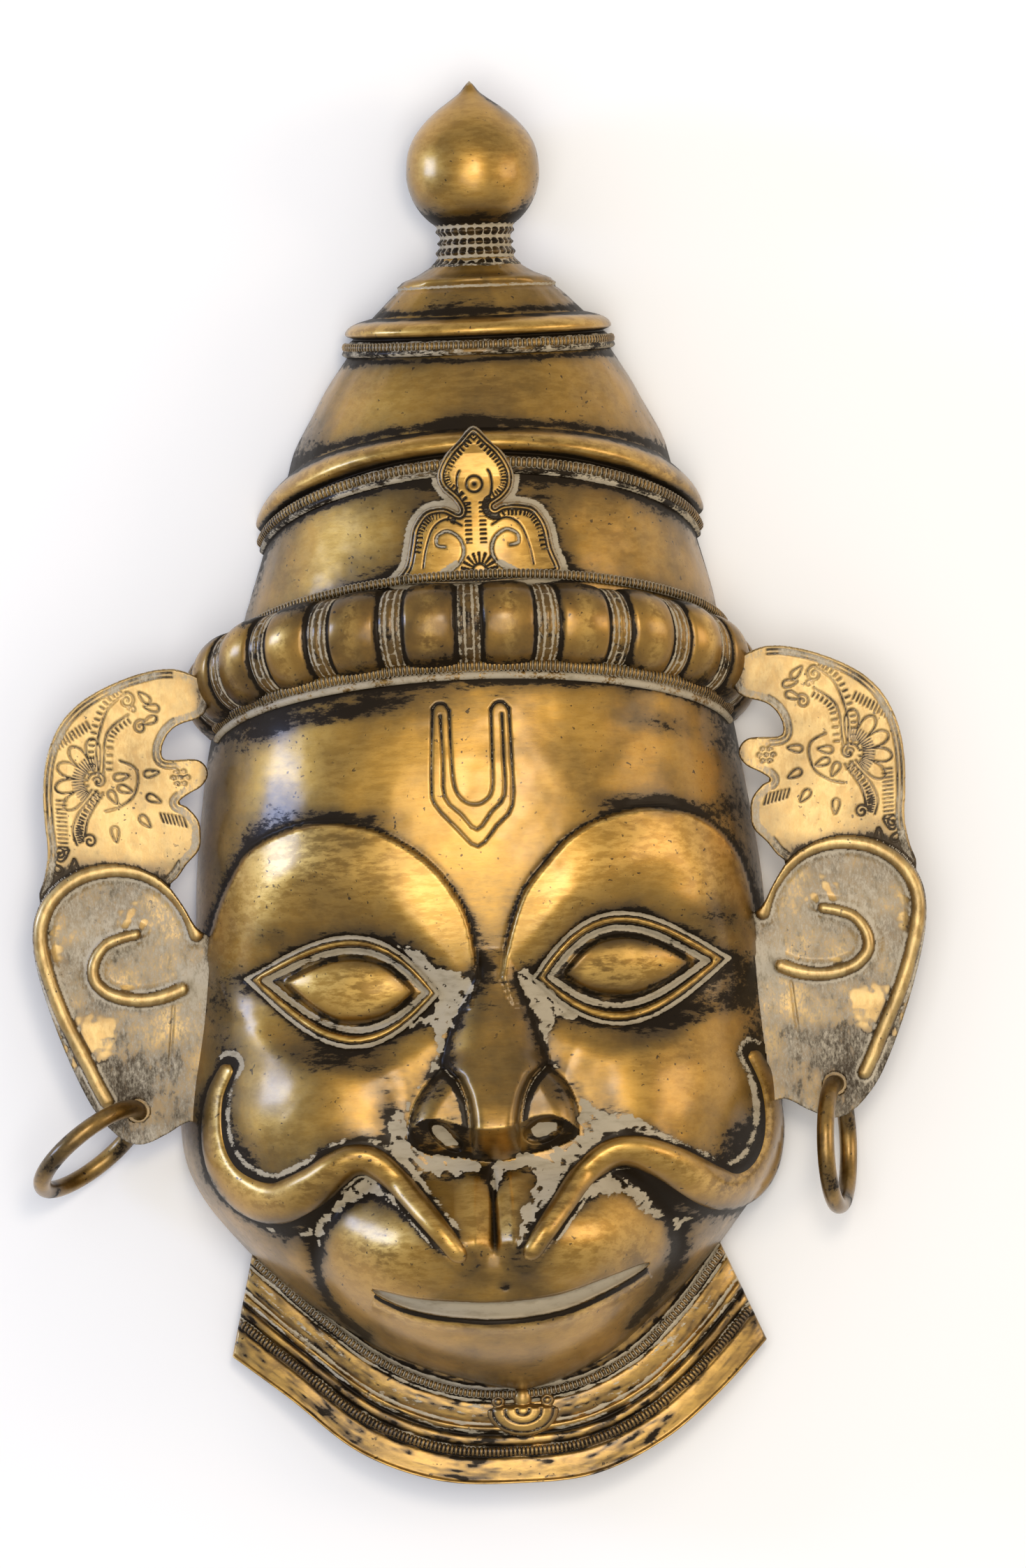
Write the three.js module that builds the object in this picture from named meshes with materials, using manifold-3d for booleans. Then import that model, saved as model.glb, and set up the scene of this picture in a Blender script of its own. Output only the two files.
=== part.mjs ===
// Hollow brass mask of a crowned monkey deity, lying on its back: +Y runs to the crown, +Z out of the face.
// All sizes are in millimetres. Left and right are the viewer's, looking at the face.

import * as THREE from 'three';
import Module from 'manifold-3d';
import { mergeVertices } from 'three/addons/utils/BufferGeometryUtils.js';

const wasm = await Module();
wasm.setup();

// Driving dimensions
const MASK_HEIGHT = 600;
const WALL = 3;
const GAP = 0.3;
const BELOW_BACK = -5;
const FACE_MIDDLE_X = -8.5;
const FACE_BOTTOM = 40;
const FACE_TOP = 356;
const NOSE_MIDDLE_X = -5.2;
const BROW_RISE = 5.5;
const BROW_FADE = 40;
const EAR_MIDDLE_X = -9;
const FACE_SIDES = 20;
const CROWN_SIDES = 16;
const SIDES_INSIDE = 8;
const FACE_SQUARENESS = 2.6;
const FINIAL_AXIS = { x: 0.5, z: 28.6 };
const BAND_RIB_PITCH = THREE.MathUtils.degToRad(16.4);
const RING_RADIUS = 26;
const RING_BAR = 3.7;
const LOBE_HOLE_RADIUS = 5;

// A smooth curve through [place, value] pairs, flat beyond both ends
function through(pairs) {
  const slope = (i) => {
    const [before, after] = [pairs[Math.max(i - 1, 0)], pairs[Math.min(i + 1, pairs.length - 1)]];
    return (after[1] - before[1]) / (after[0] - before[0]);
  };
  return (place) => {
    if (place <= pairs[0][0]) return pairs[0][1];
    const i = pairs.findIndex((pair) => pair[0] >= place);
    if (i < 0) return pairs[pairs.length - 1][1];
    const [start, end] = [pairs[i - 1], pairs[i]];
    const span = end[0] - start[0];
    const t = (place - start[0]) / span;
    const lift = t * t * (3 - 2 * t);
    const leave = t * (1 - t) * (1 - t) * span * slope(i - 1);
    const arrive = t * t * (t - 1) * span * slope(i);
    return start[1] + (end[1] - start[1]) * lift + leave + arrive;
  };
}

// The face dome: half width, middle and depth at each height up the mask
const faceHalf = through([[40, 4], [42, 15], [46, 28], [52, 42], [60, 56], [70, 69], [80, 81], [92, 93],
  [107, 106], [125, 119.5], [142, 127], [162, 129], [190, 126.5], [227, 122.7], [260, 121], [292, 117],
  [320, 112.5], [338, 108], [350, 100], [360, 90]]);
const faceMiddle = through([[40, 2], [52, -3.5], [69, -7.5], [107, -11], [162, -11.2], [227, -8.6],
  [320, -9], [360, -5]]);
const faceDepth = through([[40, 34], [44, 52], [52, 72], [65, 89], [80, 98], [100, 103], [130, 103],
  [170, 99], [210, 97], [250, 100], [290, 99], [320, 95], [345, 90], [360, 84]]);

// The crown: half width, middle, depth and the height of its own axis above the back plane
const crownHalf = through([[330, 101], [352, 104], [375, 100.5], [400, 93.3], [420, 87.5], [433, 82.5],
  [445, 79], [460, 71], [470, 65.5], [484, 56.5], [498, 47.3], [505, 40.5], [511, 34.5], [514, 31],
  [518, 24], [522, 18]]);
const crownMiddle = through([[330, -6], [375, -3.5], [400, -2.5], [450, -1.2], [484, 0], [522, 0.5]]);
const crownDepth = through([[330, 88], [352, 90], [385, 88], [410, 85], [433, 80], [445, 78], [460, 74],
  [484, 65.5], [498, 60], [511, 54], [518, 50], [522, 46.6]]);
const crownAxis = through([[445, 0], [460, 3], [484, 11], [498, 18], [511, 25], [522, 28.6]]);

// Soft rises and hollows of the face: [x, y, half length, half height, turn, rise]
const softForms = [
  [-86, 166, 44, 38, 0.2, 8], [68, 166, 44, 38, -0.2, 8],
  [-10, 94, 80, 46, 0.05, 15], [-46, 104, 38, 30, 0.3, 9], [28, 104, 38, 30, -0.3, 9], [-3, 62, 60, 26, 0.04, 7],
  [-66, 212, 48, 32, 0, -5], [54, 217, 48, 32, 0, -5],
];

function softRise(x, y) {
  return softForms.reduce((sum, [middleX, middleY, halfLength, halfHeight, turn, rise]) => {
    const [dx, dy] = [x - middleX, y - middleY];
    const along = (dx * Math.cos(turn) + dy * Math.sin(turn)) / halfLength;
    const up = (dy * Math.cos(turn) - dx * Math.sin(turn)) / halfHeight;
    return sum + rise * Math.max(1 - along * along - up * up, 0) ** 1.5;
  }, 0);
}

// The inside follows the same forms, less deeply, and keeps clear of the eye sockets
const insideRise = (x, y) => Math.min(softRise(x, y), 8) - 4;

function faceZ(x, y) {
  const reach = Math.min(Math.abs(x - faceMiddle(y)) / faceHalf(y), 1);
  return faceDepth(y) * Math.sqrt(1 - reach ** FACE_SQUARENESS) + softRise(x, y);
}

function crownPoint(angle, y, grow = 0) {
  const front = crownDepth(y) - crownAxis(y) + grow;
  const sine = Math.sin(angle);
  return new THREE.Vector3(
    crownMiddle(y) + (crownHalf(y) + grow) * Math.cos(angle),
    y,
    crownAxis(y) + (sine > 0 ? front : crownHalf(y) + grow) * sine,
  );
}

// Solids
function solid(geometry) {
  geometry.deleteAttribute('normal');
  geometry.deleteAttribute('uv');
  const merged = mergeVertices(geometry, 1e-4);
  const mesh = new wasm.Mesh({
    numProp: 3,
    vertProperties: Float32Array.from(merged.attributes.position.array),
    triVerts: Uint32Array.from(merged.index.array),
  });
  return new wasm.Manifold(mesh);
}

function geometryOf(manifold) {
  const mesh = manifold.getMesh();
  const geometry = new THREE.BufferGeometry();
  geometry.setAttribute('position', new THREE.BufferAttribute(new Float32Array(mesh.vertProperties), 3));
  geometry.setIndex(new THREE.BufferAttribute(new Uint32Array(mesh.triVerts), 1));
  return geometry;
}

const join = (solids) => solids.reduce((whole, next) => whole.add(next));

// Triangles over a flat ring of points, seen from the side that its turning points to
function capTriangles(ring) {
  const normal = new THREE.Vector3();
  ring.forEach((point, i) => {
    normal.add(new THREE.Vector3().crossVectors(point, ring[(i + 1) % ring.length]));
  });
  normal.normalize();
  const across = new THREE.Vector3().subVectors(ring[1], ring[0]).normalize();
  const up = new THREE.Vector3().crossVectors(normal, across);
  const flat = ring.map((point) => new THREE.Vector2(point.dot(across), point.dot(up)));
  return THREE.ShapeUtils.triangulateShape(flat, []);
}

// A closed body over rings of points, each ring turning the same way
function loft(rings, closed = false) {
  const count = rings[0].length;
  const index = [];
  const spans = closed ? rings.length : rings.length - 1;
  for (let r = 0; r < spans; r += 1) {
    const [low, high] = [r * count, ((r + 1) % rings.length) * count];
    for (let i = 0; i < count; i += 1) {
      const next = (i + 1) % count;
      index.push(low + i, low + next, high + next, low + i, high + next, high + i);
    }
  }
  if (!closed) {
    const last = (rings.length - 1) * count;
    capTriangles(rings[0]).forEach(([a, b, c]) => index.push(a, c, b));
    capTriangles(rings[rings.length - 1]).forEach(([a, b, c]) => index.push(last + a, last + b, last + c));
  }
  const geometry = new THREE.BufferGeometry();
  const places = rings.flat().flatMap((point) => point.toArray());
  geometry.setAttribute('position', new THREE.Float32BufferAttribute(places, 3));
  geometry.setIndex(index);
  const body = solid(geometry);
  return body.volume() < 0 ? solid(turnedInsideOut(geometry)) : body;
}

function turnedInsideOut(geometry) {
  const index = geometry.index.array;
  for (let i = 0; i < index.length; i += 3) [index[i], index[i + 1]] = [index[i + 1], index[i]];
  return geometry;
}

// A bar of oval section along a curve; size gives [half width, half height] at each share of its length
function bar(curve, size, sides, steps, closed = false) {
  const rings = [];
  const count = closed ? steps : steps + 1;
  for (let s = 0; s < count; s += 1) {
    const share = s / steps;
    const centre = curve.getPoint(share);
    const along = curve.getTangent(share);
    const across = new THREE.Vector3(along.y, -along.x, 0).normalize();
    const up = new THREE.Vector3().crossVectors(across, along).normalize();
    const [halfWidth, halfHeight] = size(share);
    rings.push(Array.from({ length: sides }, (_, i) => {
      const angle = (2 * Math.PI * (i + 0.5)) / sides;
      return centre.clone()
        .addScaledVector(across, halfWidth * Math.cos(angle))
        .addScaledVector(up, halfHeight * Math.sin(angle));
    }));
  }
  return loft(rings, closed);
}

function egg(centre, radii, tilt = 0, columns = 16, rows = 10) {
  const geometry = new THREE.SphereGeometry(1, columns, rows);
  geometry.rotateX(Math.PI / 2);
  geometry.scale(...radii);
  geometry.rotateZ(tilt);
  geometry.translate(...centre);
  return solid(geometry);
}

// An upright-walled body over an outline, from one level to another
function prism(points, low, high) {
  const shape = new THREE.Shape(points.map(([x, y]) => new THREE.Vector2(x, y)));
  const geometry = new THREE.ExtrudeGeometry(shape, { depth: high - low, bevelEnabled: false });
  geometry.translate(0, 0, low);
  return solid(geometry);
}

const FACE_ROWS = [FACE_BOTTOM, 42.5, 47, 55, 64, 74, 86, 98, 110, 124, 140, 158, 178, 200, 226, 256, 288,
  320, 340, FACE_TOP];
const FACE_ROWS_INSIDE = [FACE_BOTTOM, 44, 56, 82, 130, 190, 260, 320, FACE_TOP];

// The dome of the face, all over or grown by a wall, with soft forms given by their rise at each place
function faceDome(grow, bottom, heights, sides, riseAt) {
  const rings = heights.map((height) => {
    const y = THREE.MathUtils.mapLinear(height, FACE_BOTTOM, FACE_TOP, FACE_BOTTOM - grow, FACE_TOP + grow);
    const half = Math.max(faceHalf(height) + grow, 1);
    const depth = faceDepth(height) + grow;
    const ring = Array.from({ length: sides + 1 }, (_, i) => {
      const angle = (Math.PI * i) / sides;
      const [cosine, sine] = [Math.cos(angle), Math.sin(angle)];
      const x = faceMiddle(height) + half * Math.sign(cosine) * Math.abs(cosine) ** (2 / FACE_SQUARENESS);
      return new THREE.Vector3(x, y, depth * sine + (sine > 0.05 ? riseAt(x, height) : 0));
    });
    ring[0].z = bottom;
    ring[sides].z = bottom;
    return ring;
  });
  return loft(rings);
}

const CROWN_ROWS = [330, 376, 400, 424, 450, 468, 484, 498, 505, 511, 514, 518, 522];
const CROWN_ROWS_INSIDE = [330, 390, 424, 450, 484, 511, 518];

// The crown is finely sided in front and coarse behind, where the back plane cuts most of it away
function crownDome(growAt, heights, sides) {
  const turns = Array.from({ length: sides }, (_, i) => (Math.PI * i) / sides);
  const behind = Array.from({ length: 6 }, (_, i) => Math.PI * (1 + i / 6));
  return loft(heights.map((height) => {
    return [...turns, ...behind].map((angle) => crownPoint(angle, height, growAt(height)));
  }));
}

function finial() {
  const outline = [[0, 519], [18, 519], [18, 522], [16, 527], [15.3, 531], [16.3, 535], [20, 541], [25.8, 549],
    [28.4, 560], [27.4, 570], [22, 580], [12, 590], [4.5, 595.5], [0, MASK_HEIGHT]];
  const geometry = new THREE.LatheGeometry(outline.map(([radius, y]) => new THREE.Vector2(radius, y)), 14);
  geometry.translate(FINIAL_AXIS.x, 0, FINIAL_AXIS.z);
  return solid(geometry);
}

// A moulding wrapped round the crown; corners give [height in front, height at the side, stand-off]
function crownMoulding(corners) {
  return loft(Array.from({ length: CROWN_SIDES + 3 }, (_, s) => {
    const angle = (Math.PI * (s - 1)) / CROWN_SIDES;
    const rise = Math.max(Math.sin(angle), 0);
    return corners.map(([front, side, standOff]) => crownPoint(angle, side + (front - side) * rise, standOff));
  }));
}

const midBand = () => crownMoulding([[450, 431, -0.5], [447, 422, 4.5], [443, 413, 6.5], [439.5, 409, 2],
  [436.5, 406, 4], [431, 401, -0.5], [440, 415, -7]]);
const topBand = () => crownMoulding([[498, 499.5, -0.5], [496, 498, 5.5], [491, 493, 6.8], [488, 490, 3.6],
  [484, 486, 4], [482, 484, -0.5], [490, 492, -7]]);

// The lobed band: a thick roll round the brow with a narrow rib between each pair of lobes
const bandCentre = (angle) => new THREE.Vector3(FACE_MIDDLE_X + 107 * Math.cos(angle), 341 + 26 * Math.sin(angle),
  13 + 76 * Math.sin(angle));

function headband(grow) {
  const turns = [0.5, 0.2, 0.09, -0.09, -0.2];
  const swell = [1.04, 0.98, 0.84, 0.84, 0.98];
  const rings = [];
  for (let rib = -5; rib <= 5; rib += 1) {
    turns.forEach((turn, i) => {
      const angle = Math.PI / 2 - (rib - turn) * BAND_RIB_PITCH;
      const out = new THREE.Vector3(Math.cos(angle), 0.1, Math.sin(angle));
      const ring = Array.from({ length: 7 }, (_, k) => {
        const around = (2 * Math.PI * (k + 0.5)) / 7;
        return bandCentre(angle)
          .addScaledVector(out, (15 * swell[i] + grow) * Math.cos(around))
          .add(new THREE.Vector3(0, (18 * Math.sqrt(swell[i]) + grow) * Math.sin(around), 0));
      });
      rings.push(ring);
    });
  }
  return loft(rings);
}

function headbandCord(grow) {
  const points = Array.from({ length: 13 }, (_, i) => {
    const angle = Math.PI * (0.03 + 0.94 * (i / 12));
    const [x, y] = [FACE_MIDDLE_X + 111 * Math.cos(angle), 322 + 27 * Math.sin(angle)];
    return new THREE.Vector3(x, y, faceZ(x, y));
  });
  return bar(new THREE.CatmullRomCurve3(points), () => [4.4 + grow, 4.2 + grow], 6, 18);
}

// Features of the face
const onFace = (points, lift) => new THREE.CatmullRomCurve3(
  points.map(([x, y, more = 0]) => new THREE.Vector3(x, y, faceZ(x, y) + lift + more)),
);

const nosePoints = [[226, 6, 0], [214, 8, 3.5], [200, 12, 9], [184, 14.5, 15], [170, 14.5, 21], [160, 13.5, 25],
  [154.5, 12.5, 24], [151, 11, 17], [143, 9, 8], [136, 6, 2]];

function nose() {
  const rings = nosePoints.map(([y, half, height]) => {
    const base = faceZ(NOSE_MIDDLE_X, y);
    const corners = [[-1.55, -8], [-1.3, 0.1], [-1, 0.6], [-0.45, 1], [0.45, 1], [1, 0.6], [1.3, 0.1], [1.55, -8]];
    return corners.map(([share, rise]) => {
      return new THREE.Vector3(NOSE_MIDDLE_X + share * half, y, base + (rise < 0 ? rise : rise * height));
    });
  });
  const wings = [[-29.3, 161, 0.25], [18, 164, -0.25]].map(([x, y, turn]) => {
    return egg([x, y, faceZ(x, y) + 1], [13.3, 16.5, 15], turn, 10, 7);
  });
  return join([loft(rings), ...wings]);
}

const nostrils = () => [[-26.5, 148.5], [13.5, 151.5]].map(([x, y]) => {
  return egg([x, y, faceZ(x, y) + 6], [7.5, 6, 7], 0, 10, 6);
});

const browArcs = {
  left: [[-10, 220], [-13, 240], [-19, 254], [-30, 268], [-48, 280], [-64, 284.6], [-78, 285.3], [-92.5, 282],
    [-106, 275], [-114, 264], [-121, 250], [-127, 232]],
  right: [[-0.5, 220], [3, 234], [9.7, 252], [18.7, 264], [29.5, 275], [41.5, 282], [54.7, 286], [68, 287.4],
    [81, 284.4], [92, 278.4], [101.5, 267.5], [107, 252], [110, 234]],
};

// How far a place is from the nearest point of an arc
function distanceTo(arc, x, y) {
  return Math.min(...arc.slice(1).map(([endX, endY], i) => {
    const [startX, startY] = arc[i];
    const [runX, runY] = [endX - startX, endY - startY];
    const forward = (x - startX) * runX + (y - startY) * runY;
    const share = THREE.MathUtils.clamp(forward / (runX * runX + runY * runY), 0, 1);
    return Math.hypot(x - startX - share * runX, y - startY - share * runY);
  }));
}

// The brow stands up along its arc with a crisp edge and dies away towards the eye
function brow(arc) {
  const rise = (x, y) => softRise(x, y) + BROW_RISE * Math.max(1 - distanceTo(arc, x, y) / BROW_FADE, 0) - 0.8;
  const [inner, outer] = [arc[0], arc[arc.length - 1]];
  const under = [...arc, [outer[0] * 0.8, 216], [(inner[0] + outer[0]) / 2, 205], [inner[0] * 1.5, 212]];
  return faceDome(0, 0, FACE_ROWS, FACE_SIDES, rise).intersect(prism(under, 20, 160));
}

const eyes = { left: { middle: [-66.5, 212.5], tilt: 0.035 }, right: { middle: [54.5, 217.5], tilt: 0.02 } };
const EYE_HALF_LENGTH = 37;
const EYE_HALF_HEIGHT = 21;

// An almond of the given size about an eye, from its outer corner over the top and back below
function almond({ middle, tilt }, halfLength, halfHeight, steps) {
  return Array.from({ length: 2 * steps }, (_, i) => {
    const along = Math.cos((Math.PI * i) / steps);
    const swell = (1 - along * along) ** 0.85 * (i > steps ? -1 : 1);
    const turned = new THREE.Vector2(halfLength * along, halfHeight * swell).rotateAround(new THREE.Vector2(), tilt);
    return [middle[0] + turned.x, middle[1] + turned.y];
  });
}

function eyeRim(eye) {
  const path = almond(eye, EYE_HALF_LENGTH, EYE_HALF_HEIGHT, 12).map(([x, y]) => {
    return new THREE.Vector3(x, y, faceZ(x, y) + 0.8);
  });
  return bar(new THREE.CatmullRomCurve3(path, true), () => [2.6, 2.6], 4, 16, true);
}

function eyeBall(eye) {
  const [x, y] = eye.middle;
  const lid = prism(almond(eye, EYE_HALF_LENGTH - 7, EYE_HALF_HEIGHT - 4.5, 7), 20, 160);
  return egg([x, y, faceZ(x, y) - 12], [34, 24, 18.5], eye.tilt, 10, 7).intersect(lid);
}

const moustache = {
  left: [[-118, 184], [-127, 164], [-125, 141], [-113, 128], [-99, 124.5], [-83, 131], [-67.5, 141], [-56, 137],
    [-44, 121], [-32, 106], [-22.5, 95]],
  right: [[104.3, 181], [111.7, 161], [109, 140], [99.5, 125], [86, 119.5], [70, 126.5], [56, 137], [43, 140],
    [31, 132], [20, 116], [11, 102], [5.5, 94]],
};
const moustacheHalfWidth = through([[0, 1.5], [0.1, 3.2], [0.25, 4.6], [0.4, 8], [0.52, 8], [0.65, 6.8],
  [0.85, 5.3], [1, 4]]);
const moustacheHalfHeight = through([[0, 2.5], [0.1, 5], [0.4, 8], [1, 6]]);

const mouthLine = [[-59, 85, -1.5], [-44, 79], [-26, 75.5], [-5, 74], [18, 76.5], [38, 83], [57, 92, -1.5]];
const mouth = () => bar(onFace(mouthLine, 1), (share) => [0.8 + 2 * Math.sin(Math.PI * share), 3.5], 4, 10);

// The three-lobed ornament on the crown
const fleurOutline = [[-3.5, 450], [3, 445.5], [8.5, 439], [12.5, 432], [12.5, 425], [8.5, 420], [4, 416.5],
  [8, 418.2], [15, 418], [22, 416], [26.5, 409], [28.5, 399], [31.5, 388], [-39.5, 385.5], [-34.5, 393],
  [-32.3, 402], [-30.5, 410], [-25, 416.5], [-17, 417.8], [-11, 415], [-13, 420], [-18, 425.5], [-19.3, 432],
  [-16, 439.5], [-10, 445.5]];
const fleurLift = (height) => Math.max(THREE.MathUtils.mapLinear(height, 388, 450, 2, 7.2), 0.5);
const fleur = () => crownDome(fleurLift, CROWN_ROWS.slice(0, 6), CROWN_SIDES).intersect(prism(fleurOutline, 50, 120));

// The collar: sections from under the jaw to its free edge, from one end round to the other
const collarInner = new THREE.CatmullRomCurve3([[-106, 112], [-78, 86], [-52, 67], [-25, 55], [0, 52], [24, 56],
  [45, 67], [66, 87], [83, 110]].map(([x, y]) => new THREE.Vector3(x, y, 0)));
const collarOuter = new THREE.CatmullRomCurve3([[-122, 58.3], [-98, 39.5], [-69, 15.5], [-36, 2.4], [-2, 0],
  [31, 2.6], [61, 15.8], [86, 35.5], [107, 57]].map(([x, y]) => new THREE.Vector3(x, y, 0)));
const COLLAR_SHEET = 2.4;
const collarProfile = [[0, 0], [0.32, 0], [0.37, 2.8], [0.42, 0], [0.56, 0.6], [0.61, 3], [0.66, -0.6],
  [0.71, 0.4], [0.76, 3.4], [0.81, 0], [0.93, 0.8], [1, 3]];

function collarLevel(along, across) {
  const side = 2 * along - 1;
  return 34 - 20 * side * side - 5 * across;
}

function collar(steps = 12) {
  return loft(Array.from({ length: steps + 1 }, (_, s) => {
    const along = s / steps;
    const [inner, outer] = [collarInner.getPoint(along), collarOuter.getPoint(along)];
    const front = collarProfile.map(([across, rise]) => {
      const point = inner.clone().lerp(outer, across);
      return point.setZ(collarLevel(along, across) + rise);
    });
    const back = [[1, 3], [0.9, 0], [0, 0]].map(([across, rise]) => {
      const point = inner.clone().lerp(outer, across);
      return point.setZ(collarLevel(along, across) + rise - COLLAR_SHEET);
    });
    return [...front, ...back];
  }));
}

function pendant() {
  const level = collarLevel(0.5, 0.6);
  return egg([1.5, 28, level + 1], [15, 9, 6.5], 0, 8, 5);
}

const moustaches = (grow = 0) => [moustache.left, moustache.right].map((path) => {
  return bar(onFace(path, 4), (share) => [moustacheHalfWidth(share) + grow, moustacheHalfHeight(share) + grow], 6, 17);
});

const behindBackPlane = () => solid(new THREE.BoxGeometry(1000, 1400, 300).translate(0, 300, -150));

// The inside of the shell, open at the back: the face, crown, headband roll, nose, jaw and finial
function hollows() {
  const noseInside = egg([-5.5, 170, 96], [8, 20, 17], 0, 6, 5);
  const rollTurns = [0.12, 0.35, 0.65, 1, 1.3, Math.PI / 2, 1.84, 2.14, 2.5, 2.8, 3.02];
  const rollInside = bar(new THREE.CatmullRomCurve3(rollTurns.map(bandCentre)), () => [11, 8], 5, 12);
  return join([
    faceDome(-WALL, BELOW_BACK, FACE_ROWS_INSIDE, SIDES_INSIDE, insideRise),
    crownDome(() => -WALL, CROWN_ROWS_INSIDE, SIDES_INSIDE),
    finialBore(),
    noseInside,
    rollInside,
  ]);
}

function finialBore() {
  const outline = [[0, 505], [11, 505], [11, 538], [17, 543], [22.5, 551], [25, 560], [23.5, 570], [18, 579],
    [9, 586], [0, 588]];
  const geometry = new THREE.LatheGeometry(outline.map(([radius, y]) => new THREE.Vector2(radius, y)), 8);
  geometry.translate(FINIAL_AXIS.x, 0, FINIAL_AXIS.z);
  return solid(geometry);
}

function maskShell() {
  const crown = [crownDome(() => 0, CROWN_ROWS, CROWN_SIDES), finial(), midBand(), topBand(), fleur()];
  const band = [headband(0), headbandCord(0)];
  const face = [faceDome(0, 0, FACE_ROWS, FACE_SIDES, softRise), nose(), ...moustaches()];
  const sides = ['left', 'right'].flatMap((side) => [brow(browArcs[side]), eyeRim(eyes[side]), eyeBall(eyes[side])]);
  const outside = join([...face, ...crown, ...band, ...sides, collar(), pendant()]);
  return outside.subtract(behindBackPlane()).subtract(hollows()).subtract(join([...nostrils(), mouth()]));
}

// Ears, in their own flat frame: e runs out from the head's middle line, y up, and w out of the front
const panelOutline = [[116, 346], [122, 352.5], [131, 353.8], [141, 352.2], [151, 349], [160, 345], [168, 340],
  [175, 333], [180, 324], [183, 314], [184.2, 303], [184, 290], [183.2, 278], [185, 267], [187.5, 258],
  [180, 250], [150, 250], [131, 262], [124, 270], [118.5, 276], [117.5, 283], [118.5, 289], [123, 294.5],
  [126.5, 296.5], [122, 300], [116.5, 303], [113.5, 307.5], [114.5, 312], [119, 314.8], [131, 315], [132.8, 319],
  [130.5, 325], [125.5, 329.5], [120, 333]];
const lowerOutline = [[120, 160], [127, 160], [136, 155.5], [144, 151.8], [150, 151], [156, 153.5], [162, 159],
  [168, 167], [173, 177], [178, 189], [183, 203], [187.5, 218], [190.5, 232], [191, 243], [189, 252], [184, 260.5],
  [176, 267], [166, 270.7], [154, 271.3], [143, 268.5], [133, 262], [126, 252], [121, 243], [117, 235], [115, 215]];
const rimPath = [[121, 240], [124.5, 250], [131.5, 259.5], [141, 266], [152, 268.8], [164, 268], [174.5, 263.8],
  [182.5, 256.5], [187, 247], [187.5, 237], [185, 225], [181, 212], [176, 199.5], [170.5, 188], [166, 178],
  [162, 170]];
const spiralPath = [[147, 241], [154, 239.5], [160.5, 236.5], [165, 230], [165.5, 223], [161.5, 217.5],
  [155.5, 214.5], [148.5, 213.5], [141.5, 214.8], [135, 218.5], [130.5, 224]];
const LOBE_HOLE = [149, 165.5];
const EAR_TILT = 0.05;
const EAR_LEVEL = 31;
const EAR_SHEET = 2.4;

function ear(side) {
  const raised = (points) => new THREE.CatmullRomCurve3(points.map(([e, y]) => new THREE.Vector3(e, y, EAR_SHEET)));
  const hole = solid(new THREE.CylinderGeometry(LOBE_HOLE_RADIUS, LOBE_HOLE_RADIUS, 30, 10)
    .rotateX(Math.PI / 2).translate(...LOBE_HOLE, 0));
  const flat = join([
    prism(panelOutline, 0.6 - EAR_SHEET, 0.6),
    prism(lowerOutline, 0, EAR_SHEET),
    bar(raised(rimPath), (share) => [3 - share, 3.2 - share], 4, 14),
    bar(raised(spiralPath), (share) => [2.6 + 0.6 * share, 3], 4, 11),
  ]).subtract(hole);
  const geometry = geometryOf(flat);
  geometry.translate(0, -LOBE_HOLE[1], 0);
  geometry.rotateX(EAR_TILT);
  geometry.translate(0, LOBE_HOLE[1], EAR_LEVEL);
  geometry.scale(side, 1, 1);
  geometry.translate(EAR_MIDDLE_X, 0, 0);
  const placed = solid(side < 0 ? turnedInsideOut(geometry) : geometry);
  const besideBrow = (x, y) => softRise(x, y) + BROW_RISE;
  const head = [faceDome(GAP, BELOW_BACK, FACE_ROWS, FACE_SIDES, besideBrow), headband(GAP), headbandCord(GAP)];
  return placed.subtract(join([...head, ...moustaches(2 * GAP)]));
}

// A ring through the lobe's hole: leaning to one side of it, its plane turned a little out of upright
function earring(side, lean, turn) {
  const geometry = new THREE.TorusGeometry(RING_RADIUS, RING_BAR, 6, 18);
  geometry.rotateX(Math.PI / 2);
  geometry.rotateX(turn);
  geometry.translate(RING_RADIUS, 0, 0);
  geometry.rotateZ(lean);
  geometry.translate(EAR_MIDDLE_X + side * LOBE_HOLE[0], LOBE_HOLE[1], EAR_LEVEL + EAR_SHEET / 2);
  return solid(geometry);
}

const brass = (name, color, roughness) => new THREE.MeshStandardMaterial({ name, color, roughness, metalness: 1 });

function named(name, body, material) {
  const mesh = new THREE.Mesh(geometryOf(body), material);
  mesh.name = name;
  return mesh;
}

const shellBrass = brass('aged_brass', 0xa8823a, 0.35);
const earBrass = brass('ear_brass', 0xb8924a, 0.4);
const ringBrass = brass('ring_brass', 0x8a6a2c, 0.3);

const mask = new THREE.Group();
mask.add(named('mask_shell', maskShell(), shellBrass));
mask.add(named('ear_left', ear(-1), earBrass));
mask.add(named('ear_right', ear(1), earBrass));
mask.add(named('earring_left', earring(-1, THREE.MathUtils.degToRad(217), 0.3), ringBrass));
mask.add(named('earring_right', earring(1, THREE.MathUtils.degToRad(-90), 0.2), ringBrass));

// The origin is at the middle of the bounding box, on the plane that the mask lies on
const box = new THREE.Box3().setFromObject(mask, true);
const middle = box.getCenter(new THREE.Vector3());
mask.position.set(-middle.x, -middle.y, -box.min.z);

export default mask;
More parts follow.
